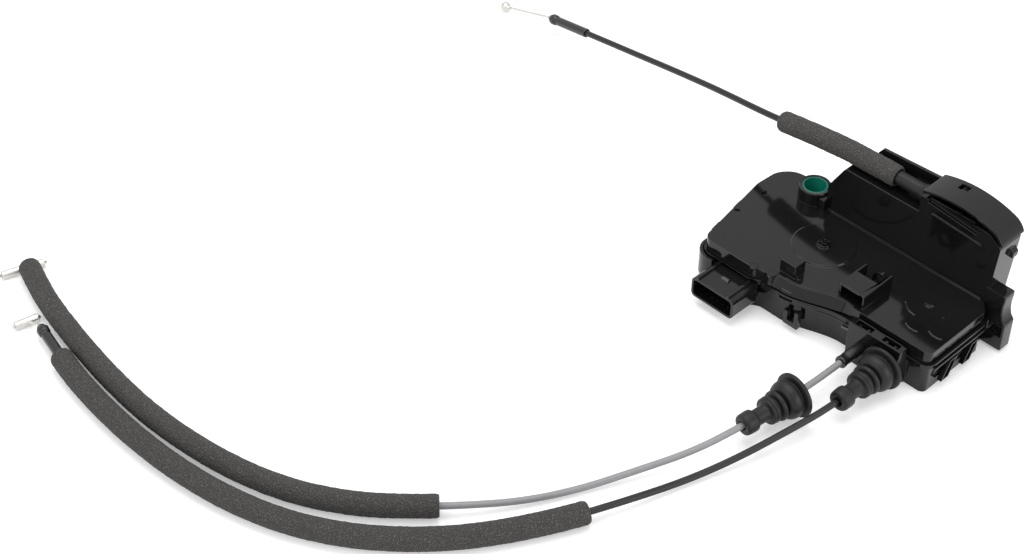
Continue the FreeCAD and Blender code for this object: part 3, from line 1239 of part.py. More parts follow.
def bent_core(points, length, pull, goal):
    """The inner wire: straight in its cap for the whole pull, bent only past the cap's tip."""
    way = end_way(route(points))
    tip = end_tip(points, length)
    goal = Vec(*goal)
    root = tip - way * (pull + CORE_HIDDEN)
    reach = min(CORE_STRAIGHT, (goal - tip).Length * RUN_SHARE)
    knee = tip + way * reach
    radius = 0.9 * reach / tan(way.getAngle(goal - knee) / 2)
    return tube([root, knee, goal], [radius], CORE_R)


def tee_end(points, length, pull, goal, bar_length):
    """A cable end with a cross bar that has a small pin at each end."""
    core = bent_core(points, length, pull, goal)
    way = end_way(route(points))
    side = Vec(-way.y, way.x, 0).normalize()
    half = bar_length / 2
    bar = turned([(0, -half), (1.1, -half), (1.1, -half + 1.6), (TEE_R - 0.4, -half + 1.6),
                  (TEE_R, -half + 2.2), (TEE_R, half - 2.2), (TEE_R - 0.4, half - 1.6),
                  (1.1, half - 1.6), (1.1, half), (0, half)], goal, side)
    return joined(bar, [core])


def ball_end():
    """A ball cast on the wire's end, with a short collar where the wire goes in."""
    core = bent_core(HANDLE_ROUTE, HANDLE_CAP, HANDLE_PULL, HANDLE_BALL)
    way = (Vec(*HANDLE_BALL) - end_tip(HANDLE_ROUTE, HANDLE_CAP)).normalize()
    collar = BALL_COLLAR_R
    meet = sqrt(BALL_R * BALL_R - collar * collar)
    side = Part.Arc(Vec(0, 0, BALL_R), Vec(BALL_R, 0, 0), Vec(collar, 0, -meet)).toShape()
    corners = [Vec(collar, 0, -meet), Vec(collar, 0, -BALL_R - 1), Vec(0, 0, -BALL_R - 1), Vec(0, 0, BALL_R)]
    edges = [side] + [Part.LineSegment(a, b).toShape() for a, b in zip(corners, corners[1:])]
    ball = Part.Face(Part.Wire(edges)).revolve(Vec(0, 0, 0), UP, 360)
    return joined(aimed(ball, HANDLE_BALL, way), [core])


def ferrule(x):
    """The plastic ferrule that holds a conduit in the block's bore."""
    start = BLOCK_FRONT - FERRULE_OUT
    full = FERRULE_OUT + FERRULE_IN
    body = turned([(0, 0), (2.9, 0), (3.2, 0.8), (3.2, FERRULE_OUT - 7), (FERRULE_R, FERRULE_OUT - 6),
                   (FERRULE_R, full), (0, full)], (x, start, CABLE_Z), BACK)
    body = body.cut(rod((x, start - 1, CABLE_Z), CONDUIT_R + TOUCH, 2 + TOUCH, BACK))
    return body.cut(rod((x, start, CABLE_Z), CORE_BORE_R, full + 1, BACK))


# Rubber grommets: a flange, a bell, bellows and a neck
GROMMET_LENGTH = 45.0
GROMMET_FLANGE_R = 15.2


def grommet(start, along):
    hole = CONDUIT_R + LOOSE
    bell = FERRULE_R + LOOSE
    profile = [(bell, 0), (GROMMET_FLANGE_R - 2.6, 0), (GROMMET_FLANGE_R, 0.8), (GROMMET_FLANGE_R, 2.6),
               (GROMMET_FLANGE_R - 2.0, 3.6), (12.4, 3.9), (12.0, 6.5), (11.0, 10.5), (9.0, 14.0),
               (7.2, 16.0), (6.0, 17.2), (8.2, 19.2), (6.2, 21.2), (7.8, 23.2), (6.0, 25.0), (7.2, 26.8),
               (5.4, 28.6), (5.2, 35.0), (6.0, 37.0), (6.2, 42.0), (5.0, GROMMET_LENGTH),
               (hole, GROMMET_LENGTH), (hole, 22.0), (bell, 20.0)]
    return turned(profile, start, along)


def boot():
    """The rubber boot between the hood and the handle cable's sleeve."""
    profile = [(CONDUIT_R + TOUCH, 0), (BOOT_R, 0), (BOOT_R, 3.9), (BOOT_R + 0.7, 4.1), (BOOT_R + 0.7, 6.3),
               (BOOT_R, 6.7), (BOOT_R - 0.3, 18), (BOOT_R - 1.0, BOOT_LENGTH), (CONDUIT_R + TOUCH, BOOT_LENGTH)]
    return turned(profile, (BOOT_START, HANDLE_CABLE_Y, HANDLE_CABLE_Z), RIGHT * -1)


def grommet_place(points, index, along):
    """A grommet's start and direction, a distance along one run of a route."""
    points = route(points)
    way = (points[index + 1] - points[index]).normalize()
    return tuple(points[index] + way * along), way


GROMMET_SPOTS = {
    "inside_cable_grommet": grommet_place(INSIDE_ROUTE, 1, 7.3),
    "knob_cable_grommet": ((KNOB_CABLE_X, BLOCK_FRONT - LOOSE, CABLE_Z), BACK * -1),
}


def build():
    parts = PARTS
    parts["housing_base"] = screw_bores(housing_base())
    parts["actuator_cover"] = actuator_cover()
    parts["cover_seal"] = cover_seal()
    parts["connector_shroud"] = connector_shroud()
    parts["connector_terminals"] = connector_terminals()
    parts["contact_strips"] = contact_strips()
    parts["microswitches"] = microswitches()
    parts["wheel_spindles"] = spindles()
    parts["lever_pins"] = lever_pins()
    safe_start = SAFE_WHEEL_Y - WORM_LENGTH / 2
    lock_start = LOCK_WHEEL_X - WORM_LENGTH / 2
    parts["safe_motor"] = motor((SAFE_WORM_X, SAFE_MOTOR_END, DRIVE_Z), BACK,
                                safe_start - SAFE_MOTOR_END + SHAFT_IN_WORM, False)
    parts["lock_motor"] = motor((LOCK_MOTOR_END, LOCK_WORM_Y, DRIVE_Z), RIGHT,
                                lock_start - LOCK_MOTOR_END + SHAFT_IN_WORM, True)
    parts["safe_worm"] = worm((SAFE_WORM_X, safe_start, DRIVE_Z), BACK)
    parts["lock_worm"] = worm((LOCK_WHEEL_X - WORM_LENGTH / 2, LOCK_WORM_Y, DRIVE_Z), RIGHT)
    parts["safe_wheel"] = wheel(SAFE_WHEEL_X, SAFE_WHEEL_Y, SAFE_TEETH)
    parts["lock_wheel"] = wheel(LOCK_WHEEL_X, LOCK_WHEEL_Y, LOCK_TEETH)
    parts["inside_release_lever"] = inside_release_lever()
    parts["lock_lever"] = lock_lever()
    parts["safe_lever"] = safe_lever()
    parts["key_coupler"] = key_coupler()
    parts["key_lever"] = key_lever()
    parts["latch_housing"] = screw_bores(latch_housing())
    parts["face_plate"] = face_plate()
    parts["latch_back_plate"] = latch_back_plate()
    parts["claw"] = claw()
    parts["pawl"] = pawl()
    parts["claw_pin"] = latch_pin(CLAW_X, CLAW_Z, CLAW_PIN_R)
    parts["pawl_pin"] = latch_pin(PAWL_X, PAWL_Z, PAWL_PIN_R)
    parts["claw_spring"] = claw_spring()
    parts["pawl_spring"] = pawl_spring()
    parts["striker_bumper"] = striker_bumper()
    parts["cable_hood"] = cable_hood()
    parts["outside_release_lever"] = outside_release_lever()
    parts["outside_lever_pin"] = outside_lever_pin()
    parts["case_screws"] = case_screws()
    build_cables(parts)


def build_cables(parts):
    parts["inside_cable_conduit"] = report_route("inside cable", INSIDE_ROUTE, CONDUIT_R)
    parts["knob_cable_conduit"] = report_route("knob cable", KNOB_ROUTE, CONDUIT_R)
    parts["handle_cable_conduit"] = report_route("handle cable", HANDLE_ROUTE, CONDUIT_R)
    parts["inside_cable_sleeve"] = lying_foam(INSIDE_FOAM_ROUTE, INSIDE_FOAM_REACH)
    parts["knob_cable_sleeve"] = lying_foam(KNOB_FOAM_ROUTE, KNOB_FOAM_REACH)
    parts["handle_cable_sleeve"] = handle_foam()
    parts["inside_cable_cap"] = end_cap(INSIDE_ROUTE, INSIDE_CAP, False)
    parts["knob_cable_cap"] = end_cap(KNOB_ROUTE, KNOB_CAP, True)
    parts["handle_cable_cap"] = end_cap(HANDLE_ROUTE, HANDLE_CAP, True)
    parts["inside_cable_end"] = tee_end(INSIDE_ROUTE, INSIDE_CAP, INSIDE_PULL, INSIDE_TEE,
                                        INSIDE_TEE_LENGTH)
    parts["knob_cable_end"] = tee_end(KNOB_ROUTE, KNOB_CAP, KNOB_PULL, KNOB_TEE, KNOB_TEE_LENGTH)
    parts["handle_cable_end"] = ball_end()
    parts["inside_cable_ferrule"] = ferrule(INSIDE_CABLE_X)
    parts["knob_cable_ferrule"] = ferrule(KNOB_CABLE_X)
    parts["handle_cable_boot"] = boot()
    for name, (start, along) in GROMMET_SPOTS.items():
        parts[name] = grommet(start, along)


def lock_centre(parts):
    """The middle of the lock without its free cables."""
    whole = FreeCAD.BoundBox()
    for name, shape in parts.items():
        if "_cable_" not in name:
            whole.add(shape.BoundBox)
    return whole.Center.x, whole.Center.y


build()
CENTRE_X, CENTRE_Y = lock_centre(PARTS)
os.makedirs("parts", exist_ok=True)
for node, solid in PARTS.items():
    solid.translate(Vec(-CENTRE_X, -CENTRE_Y, 0))
    solid.exportStep("parts/" + node + ".step")
print("origin moved by", round(-CENTRE_X, 3), round(-CENTRE_Y, 3), "nodes", len(PARTS))
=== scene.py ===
import bpy
from math import cos, pi, radians, sin
from mathutils import Matrix, Vector, noise


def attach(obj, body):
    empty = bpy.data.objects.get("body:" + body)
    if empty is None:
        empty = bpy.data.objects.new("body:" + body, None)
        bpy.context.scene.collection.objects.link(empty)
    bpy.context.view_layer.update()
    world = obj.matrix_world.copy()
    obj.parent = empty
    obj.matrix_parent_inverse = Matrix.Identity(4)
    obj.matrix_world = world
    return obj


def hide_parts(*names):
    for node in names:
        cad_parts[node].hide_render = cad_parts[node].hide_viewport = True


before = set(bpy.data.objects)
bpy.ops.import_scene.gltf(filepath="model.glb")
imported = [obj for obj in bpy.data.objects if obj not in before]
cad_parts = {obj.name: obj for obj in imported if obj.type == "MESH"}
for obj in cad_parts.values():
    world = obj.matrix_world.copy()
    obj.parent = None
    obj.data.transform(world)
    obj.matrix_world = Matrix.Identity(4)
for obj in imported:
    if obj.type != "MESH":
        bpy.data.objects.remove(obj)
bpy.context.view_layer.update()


# Camera. It looks down on the lock from its front right through a long lens, about a metre and
# a third away. Drawn places are in millimetres from the front right corner of the
# lock's tray, and the finished lock has its origin under its middle.
DRAWING_ZERO = Vector((85.9532, -24.5, 0.0))


def at(x, y, z):
    """A drawn point as metres from the lock's origin."""
    return (Vector((x, y, z)) + DRAWING_ZERO) / 1000


eye = bpy.data.cameras.new("camera")
eye.lens = 70.3125
eye.clip_start = 0.01
camera = bpy.data.objects.new("camera", eye)
camera.location = at(462.55, -807.77, 899.39)
camera.rotation_euler = (radians(48.2), 0, radians(46.0))
bpy.context.scene.collection.objects.link(camera)
bpy.context.scene.camera = camera
bpy.context.scene.view_settings.view_transform = "Standard"


# Pull cables: a steel wire in a smooth plastic conduit, grey on the inside handle's cable and
# black on the other two. Each is laid in one curve from the lock to the cap at its far end.
class Wire:
    """A socket that can stand in a sum with numbers and other sockets."""

    def __init__(self, finish, socket):
        self.finish = finish
        self.socket = socket

    def maths(self, operation, first, second):
        made = self.finish.node("ShaderNodeMath", {"operation": operation}, {0: first, 1: second})
        return self.finish.wire(made, "Value")

    def __add__(self, other):
        return self.maths("ADD", self, other)

    def __radd__(self, other):
        return self.maths("ADD", other, self)

    def __rsub__(self, other):
        return self.maths("SUBTRACT", other, self)

    def __mul__(self, other):
        return self.maths("MULTIPLY", self, other)

    def __pow__(self, other):
        return self.maths("POWER", self, other)


class Finish:
    """One material. Its nodes all come from its node method."""

    def __init__(self, name, **look):
        self.material = bpy.data.materials.new(name)
        self.material.use_nodes = True
        self.tree = self.material.node_tree
        self.shader = self.tree.nodes["Principled BSDF"]
        for socket, value in look.items():
            self.set(socket.replace("_", " "), value)

    def set(self, socket, value):
        self.feed(self.shader.inputs[socket], value)

    def feed(self, socket, value):
        if isinstance(value, Wire):
            self.tree.links.new(value.socket, socket)
        elif socket.type == "RGBA" and len(value) == 3:
            socket.default_value = (*value, 1)
        else:
            socket.default_value = value

    def node(self, kind, settings, inputs):
        made = self.tree.nodes.new(kind)
        for name, value in settings.items():
            setattr(made, name, value)
        for name, value in inputs.items():
            self.feed(made.inputs[name], value)
        return made

    def wire(self, made, output):
        return Wire(self, made.outputs[output])

    def place(self):
        return self.wire(self.node("ShaderNodeTexCoord", {}, {}), "Object")

    def speckle(self, lump, detail=3.0, roughness=0.55):
        """Noise whose lumps are about this many metres across."""
        inputs = {"Vector": self.place(), "Scale": 0.6 / lump, "Detail": detail,
                  "Roughness": roughness}
        return self.wire(self.node("ShaderNodeTexNoise", {}, inputs), "Fac")

    def cells(self, size):
        """The distance from the middles of cells that are this many metres across."""
        inputs = {"Vector": self.place(), "Scale": 1.0 / size}
        return self.wire(self.node("ShaderNodeTexVoronoi", {}, inputs), "Distance")

    def blend(self, share, first, second):
        inputs = {"Factor": share, 6: first, 7: second}
        made = self.node("ShaderNodeMix", {"data_type": "RGBA"}, inputs)
        return Wire(self, made.outputs[2])

    def raise_by(self, height, depth, strength=1.0):
        inputs = {"Height": height, "Distance": depth, "Strength": strength}
        self.set("Normal", self.wire(self.node("ShaderNodeBump", {}, inputs), "Normal"))


def sheath(name, dark, pale):
    made = Finish(name)
    scuff = made.speckle(0.004)
    made.set("Specular IOR Level", 0.35)
    made.set("Base Color", made.blend(scuff, dark, pale))
    made.set("Roughness", 0.3 + scuff * 0.15)
    return made


CONDUIT_RADIUS = 0.00225
CURVE_STEPS = 10
LYING = 7.75
INSIDE_CABLE = [
    (-45.5, -29.0, 16.0), (-45.5, -60.0, 16.0), (-52.9, -119.0, 15.3), (-62.0, -149.0, 10.5),
    (-77.0, -180.0, 6.0), (-92.0, -215.0, 3.6), (-109.0, -247.5, 4.2), (-129.5, -278.0, LYING),
    (-147.0, -297.0, LYING), (-171.0, -320.5, LYING), (-204.8, -342.0, LYING),
    (-241.0, -355.0, LYING), (-279.0, -362.6, LYING), (-322.0, -366.2, LYING),
    (-365.0, -364.4, LYING), (-405.0, -359.9, LYING), (-438.0, -354.7, LYING),
    (-458.0, -350.4, LYING), (-470.0, -346.8, LYING),
]
KNOB_CABLE = [
    (-24.4, -29.0, 16.0), (-24.4, -61.0, 16.0), (-33.0, -97.0, 11.0), (-42.0, -131.0, 6.3),
    (-53.2, -166.5, 3.6), (-67.0, -212.0, LYING), (-80.5, -243.5, LYING), (-98.5, -276.3, LYING),
    (-115.5, -300.5, LYING), (-137.0, -323.8, LYING), (-161.0, -343.5, LYING),
    (-190.0, -360.5, LYING), (-225.0, -373.0, LYING), (-262.0, -380.4, LYING),
    (-300.0, -383.7, LYING), (-338.0, -383.6, LYING), (-370.0, -381.0, LYING),
    (-388.0, -378.4, LYING), (-398.0, -376.4, LYING),
]
HANDLE_CABLE = [
    (-75.0, 77.0, 80.7), (-122.0, 77.0, 80.7), (-150.0, 77.0, 78.4), (-174.0, 77.8, 74.6),
    (-205.4, 80.0, 68.6), (-254.0, 88.2, 58.0), (-300.0, 95.0, 47.0), (-345.0, 100.8, 36.2),
    (-384.0, 106.0, 26.8), (-408.7, 109.0, 21.0),
]


def lay_cable(name, points, finish):
    curve = bpy.data.curves.new(name, "CURVE")
    curve.dimensions = "3D"
    curve.bevel_depth = CONDUIT_RADIUS
    curve.bevel_resolution = 5
    curve.use_fill_caps = True
    curve.resolution_u = CURVE_STEPS
    spline = curve.splines.new("NURBS")
    spline.points.add(len(points) - 1)
    for point, place in zip(spline.points, points):
        point.co = (*at(*place), 1)
    spline.order_u = 3
    spline.use_endpoint_u = True
    spline.resolution_u = CURVE_STEPS
    curve.materials.append(finish.material)
    cable = bpy.data.objects.new(name, curve)
    bpy.context.scene.collection.objects.link(cable)
    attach(cable, "lock_body")
    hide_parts(name + "_conduit")
    return cable


grey_sheath = sheath("grey_sheath", (0.25, 0.25, 0.26), (0.31, 0.31, 0.32))
black_sheath = sheath("black_sheath", (0.008, 0.008, 0.009), (0.014, 0.014, 0.015))
inside_cable = lay_cable("inside_cable", INSIDE_CABLE, grey_sheath)
knob_cable = lay_cable("knob_cable", KNOB_CABLE, black_sheath)
handle_cable = lay_cable("handle_cable", HANDLE_CABLE, black_sheath)


# Foam sleeves: tubes of open-pored grey foam that keep the cables from rattling in the door.
# They are cut square at both ends, and their skin is all broken bubbles.
foam = Finish("open_foam", Roughness=0.95)
bubbles = foam.cells(0.001)
crumbs = foam.speckle(0.0007, 4.0, 0.7)
# The pore mask sinks the skin by bump and darkens the grey foam in the pores. That dark is painted
# shade in the pores, not the foam's own colour.
pore_depth_and_shade = (bubbles * 1.5 + crumbs * 0.9) ** 1.7
foam.set("Base Color", foam.blend(pore_depth_and_shade, (0.25, 0.24, 0.235), (0.055, 0.052, 0.05)))
foam.raise_by(1 - pore_depth_and_shade, 0.0005, 0.8)


def alone(item):
    """Select one object and nothing else."""
    bpy.ops.object.select_all(action="DESELECT")
    item.select_set(True)
    bpy.context.view_layer.objects.active = item


def middle_line(cable):
    """The points along a cable's own smooth line."""
    bare = cable.data.copy()
    bare.bevel_depth = 0
    holder = bpy.data.objects.new("line", bare)
    bpy.context.scene.collection.objects.link(holder)
    seen = holder.evaluated_get(bpy.context.evaluated_depsgraph_get())
    line = [v.co.copy() for v in bpy.data.meshes.new_from_object(seen).vertices]
    bpy.data.objects.remove(holder)
    return line


def nearest(line, place):
    gaps = [(point - place).length for point in line]
    return gaps.index(min(gaps))


def stretch_of(line, start, end, step):
    """Evenly spaced points from one place beside the line to another."""
    first, last = nearest(line, start), nearest(line, end)
    way_in = (line[first + 1] - line[first]).normalized()
    way_out = (line[last] - line[last - 1]).normalized()
    points = [line[first] + way_in * (start - line[first]).dot(way_in)]
    points += line[first + 1:last]
    points.append(line[last] + way_out * (end - line[last]).dot(way_out))
    run = [0.0]
    for before, after in zip(points, points[1:]):
        run.append(run[-1] + (after - before).length)
    count = round(run[-1] / step)
    spaced = []
    leg = 0
    for i in range(count + 1):
        goal = run[-1] * i / count
        while leg < len(points) - 2 and run[leg + 1] < goal:
            leg += 1
        share = (goal - run[leg]) / max(run[leg + 1] - run[leg], 1e-9)
        spaced.append(points[leg].lerp(points[leg + 1], share))
    return spaced


SLEEVE_RADIUS = 0.0075
SLEEVE_BORE = 0.0031
SLEEVE_STEP = 0.0011
SLEEVE_SIDES = 44
RIM_CUT = 0.0008
RIM_ROUND = 0.0002
MOUTH_RINGS = 4
BORE_STRIDE = 8


def foam_sleeve(name, cable, start, end, mouth=SLEEVE_BORE):
    """A foam tube along a stretch of a cable. Its bore is wider at its first end."""
    spine = stretch_of(middle_line(cable), at(*start), at(*end), SLEEVE_STEP)
    last = len(spine) - 1
    rings = [(MOUTH_RINGS, mouth), (0, mouth), (0, SLEEVE_RADIUS - RIM_CUT),
             (1, SLEEVE_RADIUS - RIM_ROUND)]
    rings += [(i, SLEEVE_RADIUS) for i in range(2, last - 1)]
    rings += [(last - 1, SLEEVE_RADIUS - RIM_ROUND), (last, SLEEVE_RADIUS - RIM_CUT),
              (last, SLEEVE_BORE)]
    rings += [(i, SLEEVE_BORE) for i in range(last - 7, 7, -BORE_STRIDE)]
    verts = []
    for i, radius in rings:
        ahead = (spine[min(i + 1, last)] - spine[max(i - 1, 0)]).normalized()
        side = ahead.cross(Vector((0, 0, 1))).normalized()
        up = side.cross(ahead)
        for k in range(SLEEVE_SIDES):
            turn = 2 * pi * k / SLEEVE_SIDES
            out = side * cos(turn) + up * sin(turn)
            place = spine[i] + out * radius
            lumps = noise.noise(place * 900) * 0.00022 + noise.noise(place * 260) * 0.00018
            if radius > mouth:
                place += out * (lumps - 0.0001)
            verts.append(place)
    faces = []
    for j in range(len(rings)):
        here, there = j * SLEEVE_SIDES, (j + 1) % len(rings) * SLEEVE_SIDES
        for k in range(SLEEVE_SIDES):
            after = (k + 1) % SLEEVE_SIDES
            faces.append((here + k, here + after, there + after, there + k))
    mesh = bpy.data.meshes.new(name)
    mesh.from_pydata(verts, [], faces)
    mesh.materials.append(foam.material)
    sleeve = bpy.data.objects.new(name, mesh)
    bpy.context.scene.collection.objects.link(sleeve)
    alone(sleeve)
    bpy.ops.object.mode_set(mode="EDIT")
    bpy.ops.mesh.select_all(action="SELECT")
    bpy.ops.mesh.normals_make_consistent(inside=False)
    bpy.ops.object.mode_set(mode="OBJECT")
    bpy.ops.object.shade_smooth_by_angle(angle=radians(50))
    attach(sleeve, "lock_body")
    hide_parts(cable.name + "_sleeve")
    return sleeve


inside_foam = foam_sleeve("inside_foam", inside_cable, (-138.2, -287.5, LYING),
                          (-488.8, -341.2, LYING))
knob_foam = foam_sleeve("knob_foam", knob_cable, (-73.6, -227.8, LYING), (-400.9, -375.8, LYING))
handle_foam = foam_sleeve("handle_foam", handle_cable, (-91.6, 77.0, 80.7), (-189.7, 78.9, 71.6),
                          mouth=0.0056)


# Rubber grommets and the boot: soft black rubber, moulded ring by ring with a dull skin. The two
# grommets are sprung into the door's holes, and the boot closes the hood round its cable.
rubber = Finish("black_rubber")
dust = rubber.speckle(0.006)
rubber.set("Specular IOR Level", 0.3)
rubber.set("Base Color", rubber.blend(dust, (0.006, 0.006, 0.006), (0.012, 0.012, 0.012)))
rubber.set("Roughness", 0.36 + dust * 0.18)
rubber.raise_by(rubber.speckle(0.0006, 2.0), 0.00003, 0.6)

GROMMET_RINGS = [
    (4.3, 0.0), (11.0, 0.0), (14.6, 0.0), (15.3, 0.4), (15.4, 1.5), (15.2, 2.4), (14.6, 2.9),
    (11.6, 3.0), (10.6, 3.4), (10.6, 4.7), (11.4, 5.0), (12.7, 5.6), (13.1, 7.0), (12.9, 9.4),
    (11.9, 11.8), (10.3, 13.2), (8.0, 13.6), (7.2, 13.9), (7.2, 14.7), (8.6, 14.9), (10.0, 15.2),
    (10.4, 16.2), (10.2, 17.6), (9.3, 18.3), (7.4, 18.5), (6.8, 18.9), (6.8, 20.1), (8.2, 20.3),
    (9.2, 20.8), (9.3, 22.2), (8.9, 22.9), (8.4, 23.2), (9.0, 23.6), (9.1, 24.8), (8.6, 25.5),
    (6.2, 25.8), (5.5, 26.2), (5.4, 31.0), (5.4, 35.2), (5.9, 35.7), (7.0, 36.0), (7.4, 36.7),
    (7.4, 40.0), (7.2, 43.6), (6.7, 44.6), (5.4, 45.0), (3.6, 45.0), (2.6, 44.6), (2.6, 42.0),
    (2.6, 24.0), (4.3, 20.0), (4.3, 2.0),
]
GROMMET_SLIP = 3.0
BOOT_RINGS = [
    (2.4, 0.0), (4.8, 0.0), (5.3, 0.4), (5.3, 4.6), (5.4, 5.2), (6.0, 5.5), (6.1, 6.2),
    (6.0, 7.8), (5.4, 8.3), (5.2, 9.0), (5.1, 18.0), (4.9, 29.6), (4.6, 30.8), (3.6, 31.0),
    (2.4, 31.0), (2.4, 20.0),
]


def pulled(x, y, z):
    """Extrude what is selected by a step in millimetres."""
    step = (x / 1000, y / 1000, z / 1000)
    bpy.ops.mesh.extrude_region_move(TRANSFORM_OT_translate={"value": step})


def moulded(name, rings, start, way, sides=40, levels=1):
    """A round piece drawn ring by ring from a circle: each ring is a radius and a distance."""
    bpy.ops.object.select_all(action="DESELECT")
    bpy.ops.mesh.primitive_circle_add(vertices=sides, radius=rings[0][0] / 1000,
                                      location=(0, 0, rings[0][1] / 1000))
    bpy.ops.object.transform_apply(location=True, rotation=True, scale=True)
    piece = bpy.context.object
    piece.name = name
    bpy.ops.object.mode_set(mode="EDIT")
    bpy.ops.mesh.select_mode(type="VERT")
    bpy.ops.mesh.select_all(action="SELECT")
    for (radius, reach), (next_radius, next_reach) in zip(rings, rings[1:] + rings[:1]):
        grown = next_radius / radius
        pulled(0, 0, next_reach - reach)
        bpy.ops.transform.resize(value=(grown, grown, 1), center_override=(0, 0, 0))
    bpy.ops.mesh.select_all(action="SELECT")
    bpy.ops.mesh.remove_doubles(threshold=0.00001)
    bpy.ops.mesh.normals_make_consistent(inside=False)
    bpy.ops.object.mode_set(mode="OBJECT")
    if levels:
        rounding = piece.modifiers.new("rounding", "SUBSURF")
        rounding.levels = levels
        rounding.render_levels = levels
        bpy.ops.object.modifier_apply(modifier="rounding")
    turned = way.to_track_quat("Z", "Y").to_matrix().to_4x4()
    piece.matrix_world = Matrix.Translation(start) @ turned
    bpy.ops.object.transform_apply(location=True, rotation=True, scale=True)
    bpy.ops.object.shade_smooth_by_angle(angle=radians(50))
    return piece


def rubber_piece(name, rings, start, way, node):
    piece = moulded(name, rings, start, way)
    piece.data.materials.append(rubber.material)
    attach(piece, "lock_body")
    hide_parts(node)
    return piece


GROMMET_PLACE = 0.0073
inside_run = (at(*INSIDE_CABLE[2]) - at(*INSIDE_CABLE[1])).normalized()
inside_start = at(*INSIDE_CABLE[1]) + inside_run * (GROMMET_PLACE + GROMMET_SLIP / 1000)
inside_grommet = rubber_piece("inside_grommet", GROMMET_RINGS, inside_start, inside_run,
                              "inside_cable_grommet")
hub = [(4.3, -GROMMET_SLIP), (11.2, -GROMMET_SLIP), (11.2, 0.0)]
knob_grommet = rubber_piece("knob_grommet", hub + GROMMET_RINGS[2:],
                            at(-24.4, -9.3 - GROMMET_SLIP, 16.0), Vector((0, -1, 0)),
                            "knob_cable_grommet")
handle_boot = rubber_piece("handle_boot", BOOT_RINGS, at(-62.5, 77.0, 80.7), Vector((-1, 0, 0)),
                           "handle_cable_boot")


# Cable ends. The ferrules and the caps are small black mouldings with a shiny skin, pressed on
# the conduits, and the cross bars and the ball are cast on the wires and plated.
fitting = Finish("black_fitting")
smear = fitting.speckle(0.003, 2.0)
fitting.set("Base Color", fitting.blend(smear, (0.010, 0.010, 0.0105), (0.018, 0.018, 0.0185)))
fitting.set("Roughness", 0.18 + smear * 0.14)

plated = Finish("zinc_plated_steel", Metallic=1.0)
bloom = plated.speckle(0.008)
plated.set("Base Color", plated.blend(bloom, (0.52, 0.51, 0.48), (0.68, 0.67, 0.64)))
plated.set("Roughness", 0.28 + bloom * 0.16)
plated.raise_by(plated.speckle(0.0009, 2.0), 0.00003, 0.4)


MERGED = 0.000002


def merged_copy(node, finish):
    """A copy of a CAD piece whose loose triangles are merged into whole faces."""
    skin = bpy.data.objects.new(node + "_skin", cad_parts[node].data.copy())
    bpy.context.scene.collection.objects.link(skin)
    skin.data.materials.clear()
    skin.data.materials.append(finish.material)
    alone(skin)
    bpy.ops.object.mode_set(mode="EDIT")
    bpy.ops.mesh.select_all(action="SELECT")
    bpy.ops.mesh.remove_doubles(threshold=MERGED)
    bpy.ops.mesh.dissolve_limited(angle_limit=radians(0.5))
    bpy.ops.object.mode_set(mode="OBJECT")
    return skin


def soften(piece, edge, angle=30):
    """Round the edges a little and shade the curves smooth."""
    alone(piece)
    if edge > 0:
        edges = piece.modifiers.new("edges", "BEVEL")
        edges.width = edge
        edges.segments = 2
        edges.limit_method = "ANGLE"
        edges.angle_limit = radians(35)
        edges.use_clamp_overlap = False
        bpy.ops.object.modifier_apply(modifier="edges")
    bpy.ops.object.shade_smooth_by_angle(angle=radians(angle))
    level = piece.modifiers.new("level", "WEIGHTED_NORMAL")
    level.keep_sharp = True
    level.weight = 90
    bpy.ops.object.modifier_apply(modifier="level")


def dressed(node, finish, body="lock_body", edge=0.0, angle=50):
    skin = merged_copy(node, finish)
    soften(skin, edge, angle)
    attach(skin, body)
    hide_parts(node)
    return skin


on_cable = {"inside": [inside_foam, inside_grommet], "knob": [knob_foam, knob_grommet],
            "handle": [handle_foam, handle_boot]}
for side in on_cable:
    cable_name = side + "_cable_"
    on_cable[side].append(dressed(cable_name + "cap", fitting))
    on_cable[side].append(dressed(cable_name + "end", plated,
                                  body=cable_name + "end"))
FERRULE_SIDES = 48
FERRULE_RINGS = [
    (2.35, 0.0), (4.1, 0.0), (4.1, 13.0), (3.9, 13.6), (3.9, 17.6), (4.2, 17.9), (4.2, 19.4),
    (3.9, 19.8), (2.35, 19.8),
]
for side, x in (("inside", -45.5), ("knob", -24.4)):
    ferrule = moulded(side + "_ferrule", FERRULE_RINGS, at(x, -9.0, 16.0), Vector((0, -1, 0)),
                      FERRULE_SIDES, 0)
    ferrule.data.materials.append(fitting.material)
    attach(ferrule, "lock_body")
    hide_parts(side + "_cable_ferrule")
    on_cable[side].append(ferrule)


# Tray and cover: black injection mouldings with a polished skin that shows what stands on them.
# Their front wall bows out between the socket and the block that holds the two lower cables.
moulding = Finish("black_moulding", Specular_IOR_Level=0.34)
grain = moulding.speckle(0.0008, 2.0)
cloud = moulding.speckle(0.02)
moulding.set("Base Color", moulding.blend(cloud, (0.005, 0.005, 0.0055), (0.009, 0.009, 0.0095)))
moulding.set("Roughness", 0.05 + cloud * 0.06 + grain * 0.03)
moulding.raise_by(cloud * 0.5 + grain * 0.012, 0.0004, 0.2)

EDGE = 0.00035
SLANT_LEFT, SLANT_RIGHT, SLANT_DEPTH = -133.0, -82.0, 16.5
SKIRT_LOW, SKIRT_HIGH = 27.5, 34.0
BLOCK_LEFT = -56.6
BLOCK_RISE = 3.5
LEDGE_LOW, LEDGE_PROUD, LEDGE_PUSH = 21.0, 3.0, 1.6
WALL_DEPTH = 4.0
SKIRT_DEPTH, ROOF_DEPTH, ROOF_LOW = 3.0, 1.2, 33.0
CORNER_X, CORNER_Y = 1.5, 3.0
CUT_STEP = 3
SHAVED = 0.15


def held(value, low, high):
    """How far a value is from low to high, as a share that stays between 0 and 1."""
    return min(1.0, max(0.0, (value - low) / (high - low)))


def eased(value, low, high):
    share = held(value, low, high)
    return share * share * (3 - 2 * share)


def drawn_front(x):
    """Where the CAD has the front of the tray and the cover."""
    return -SLANT_DEPTH * (1 - held(x, SLANT_LEFT, SLANT_RIGHT))


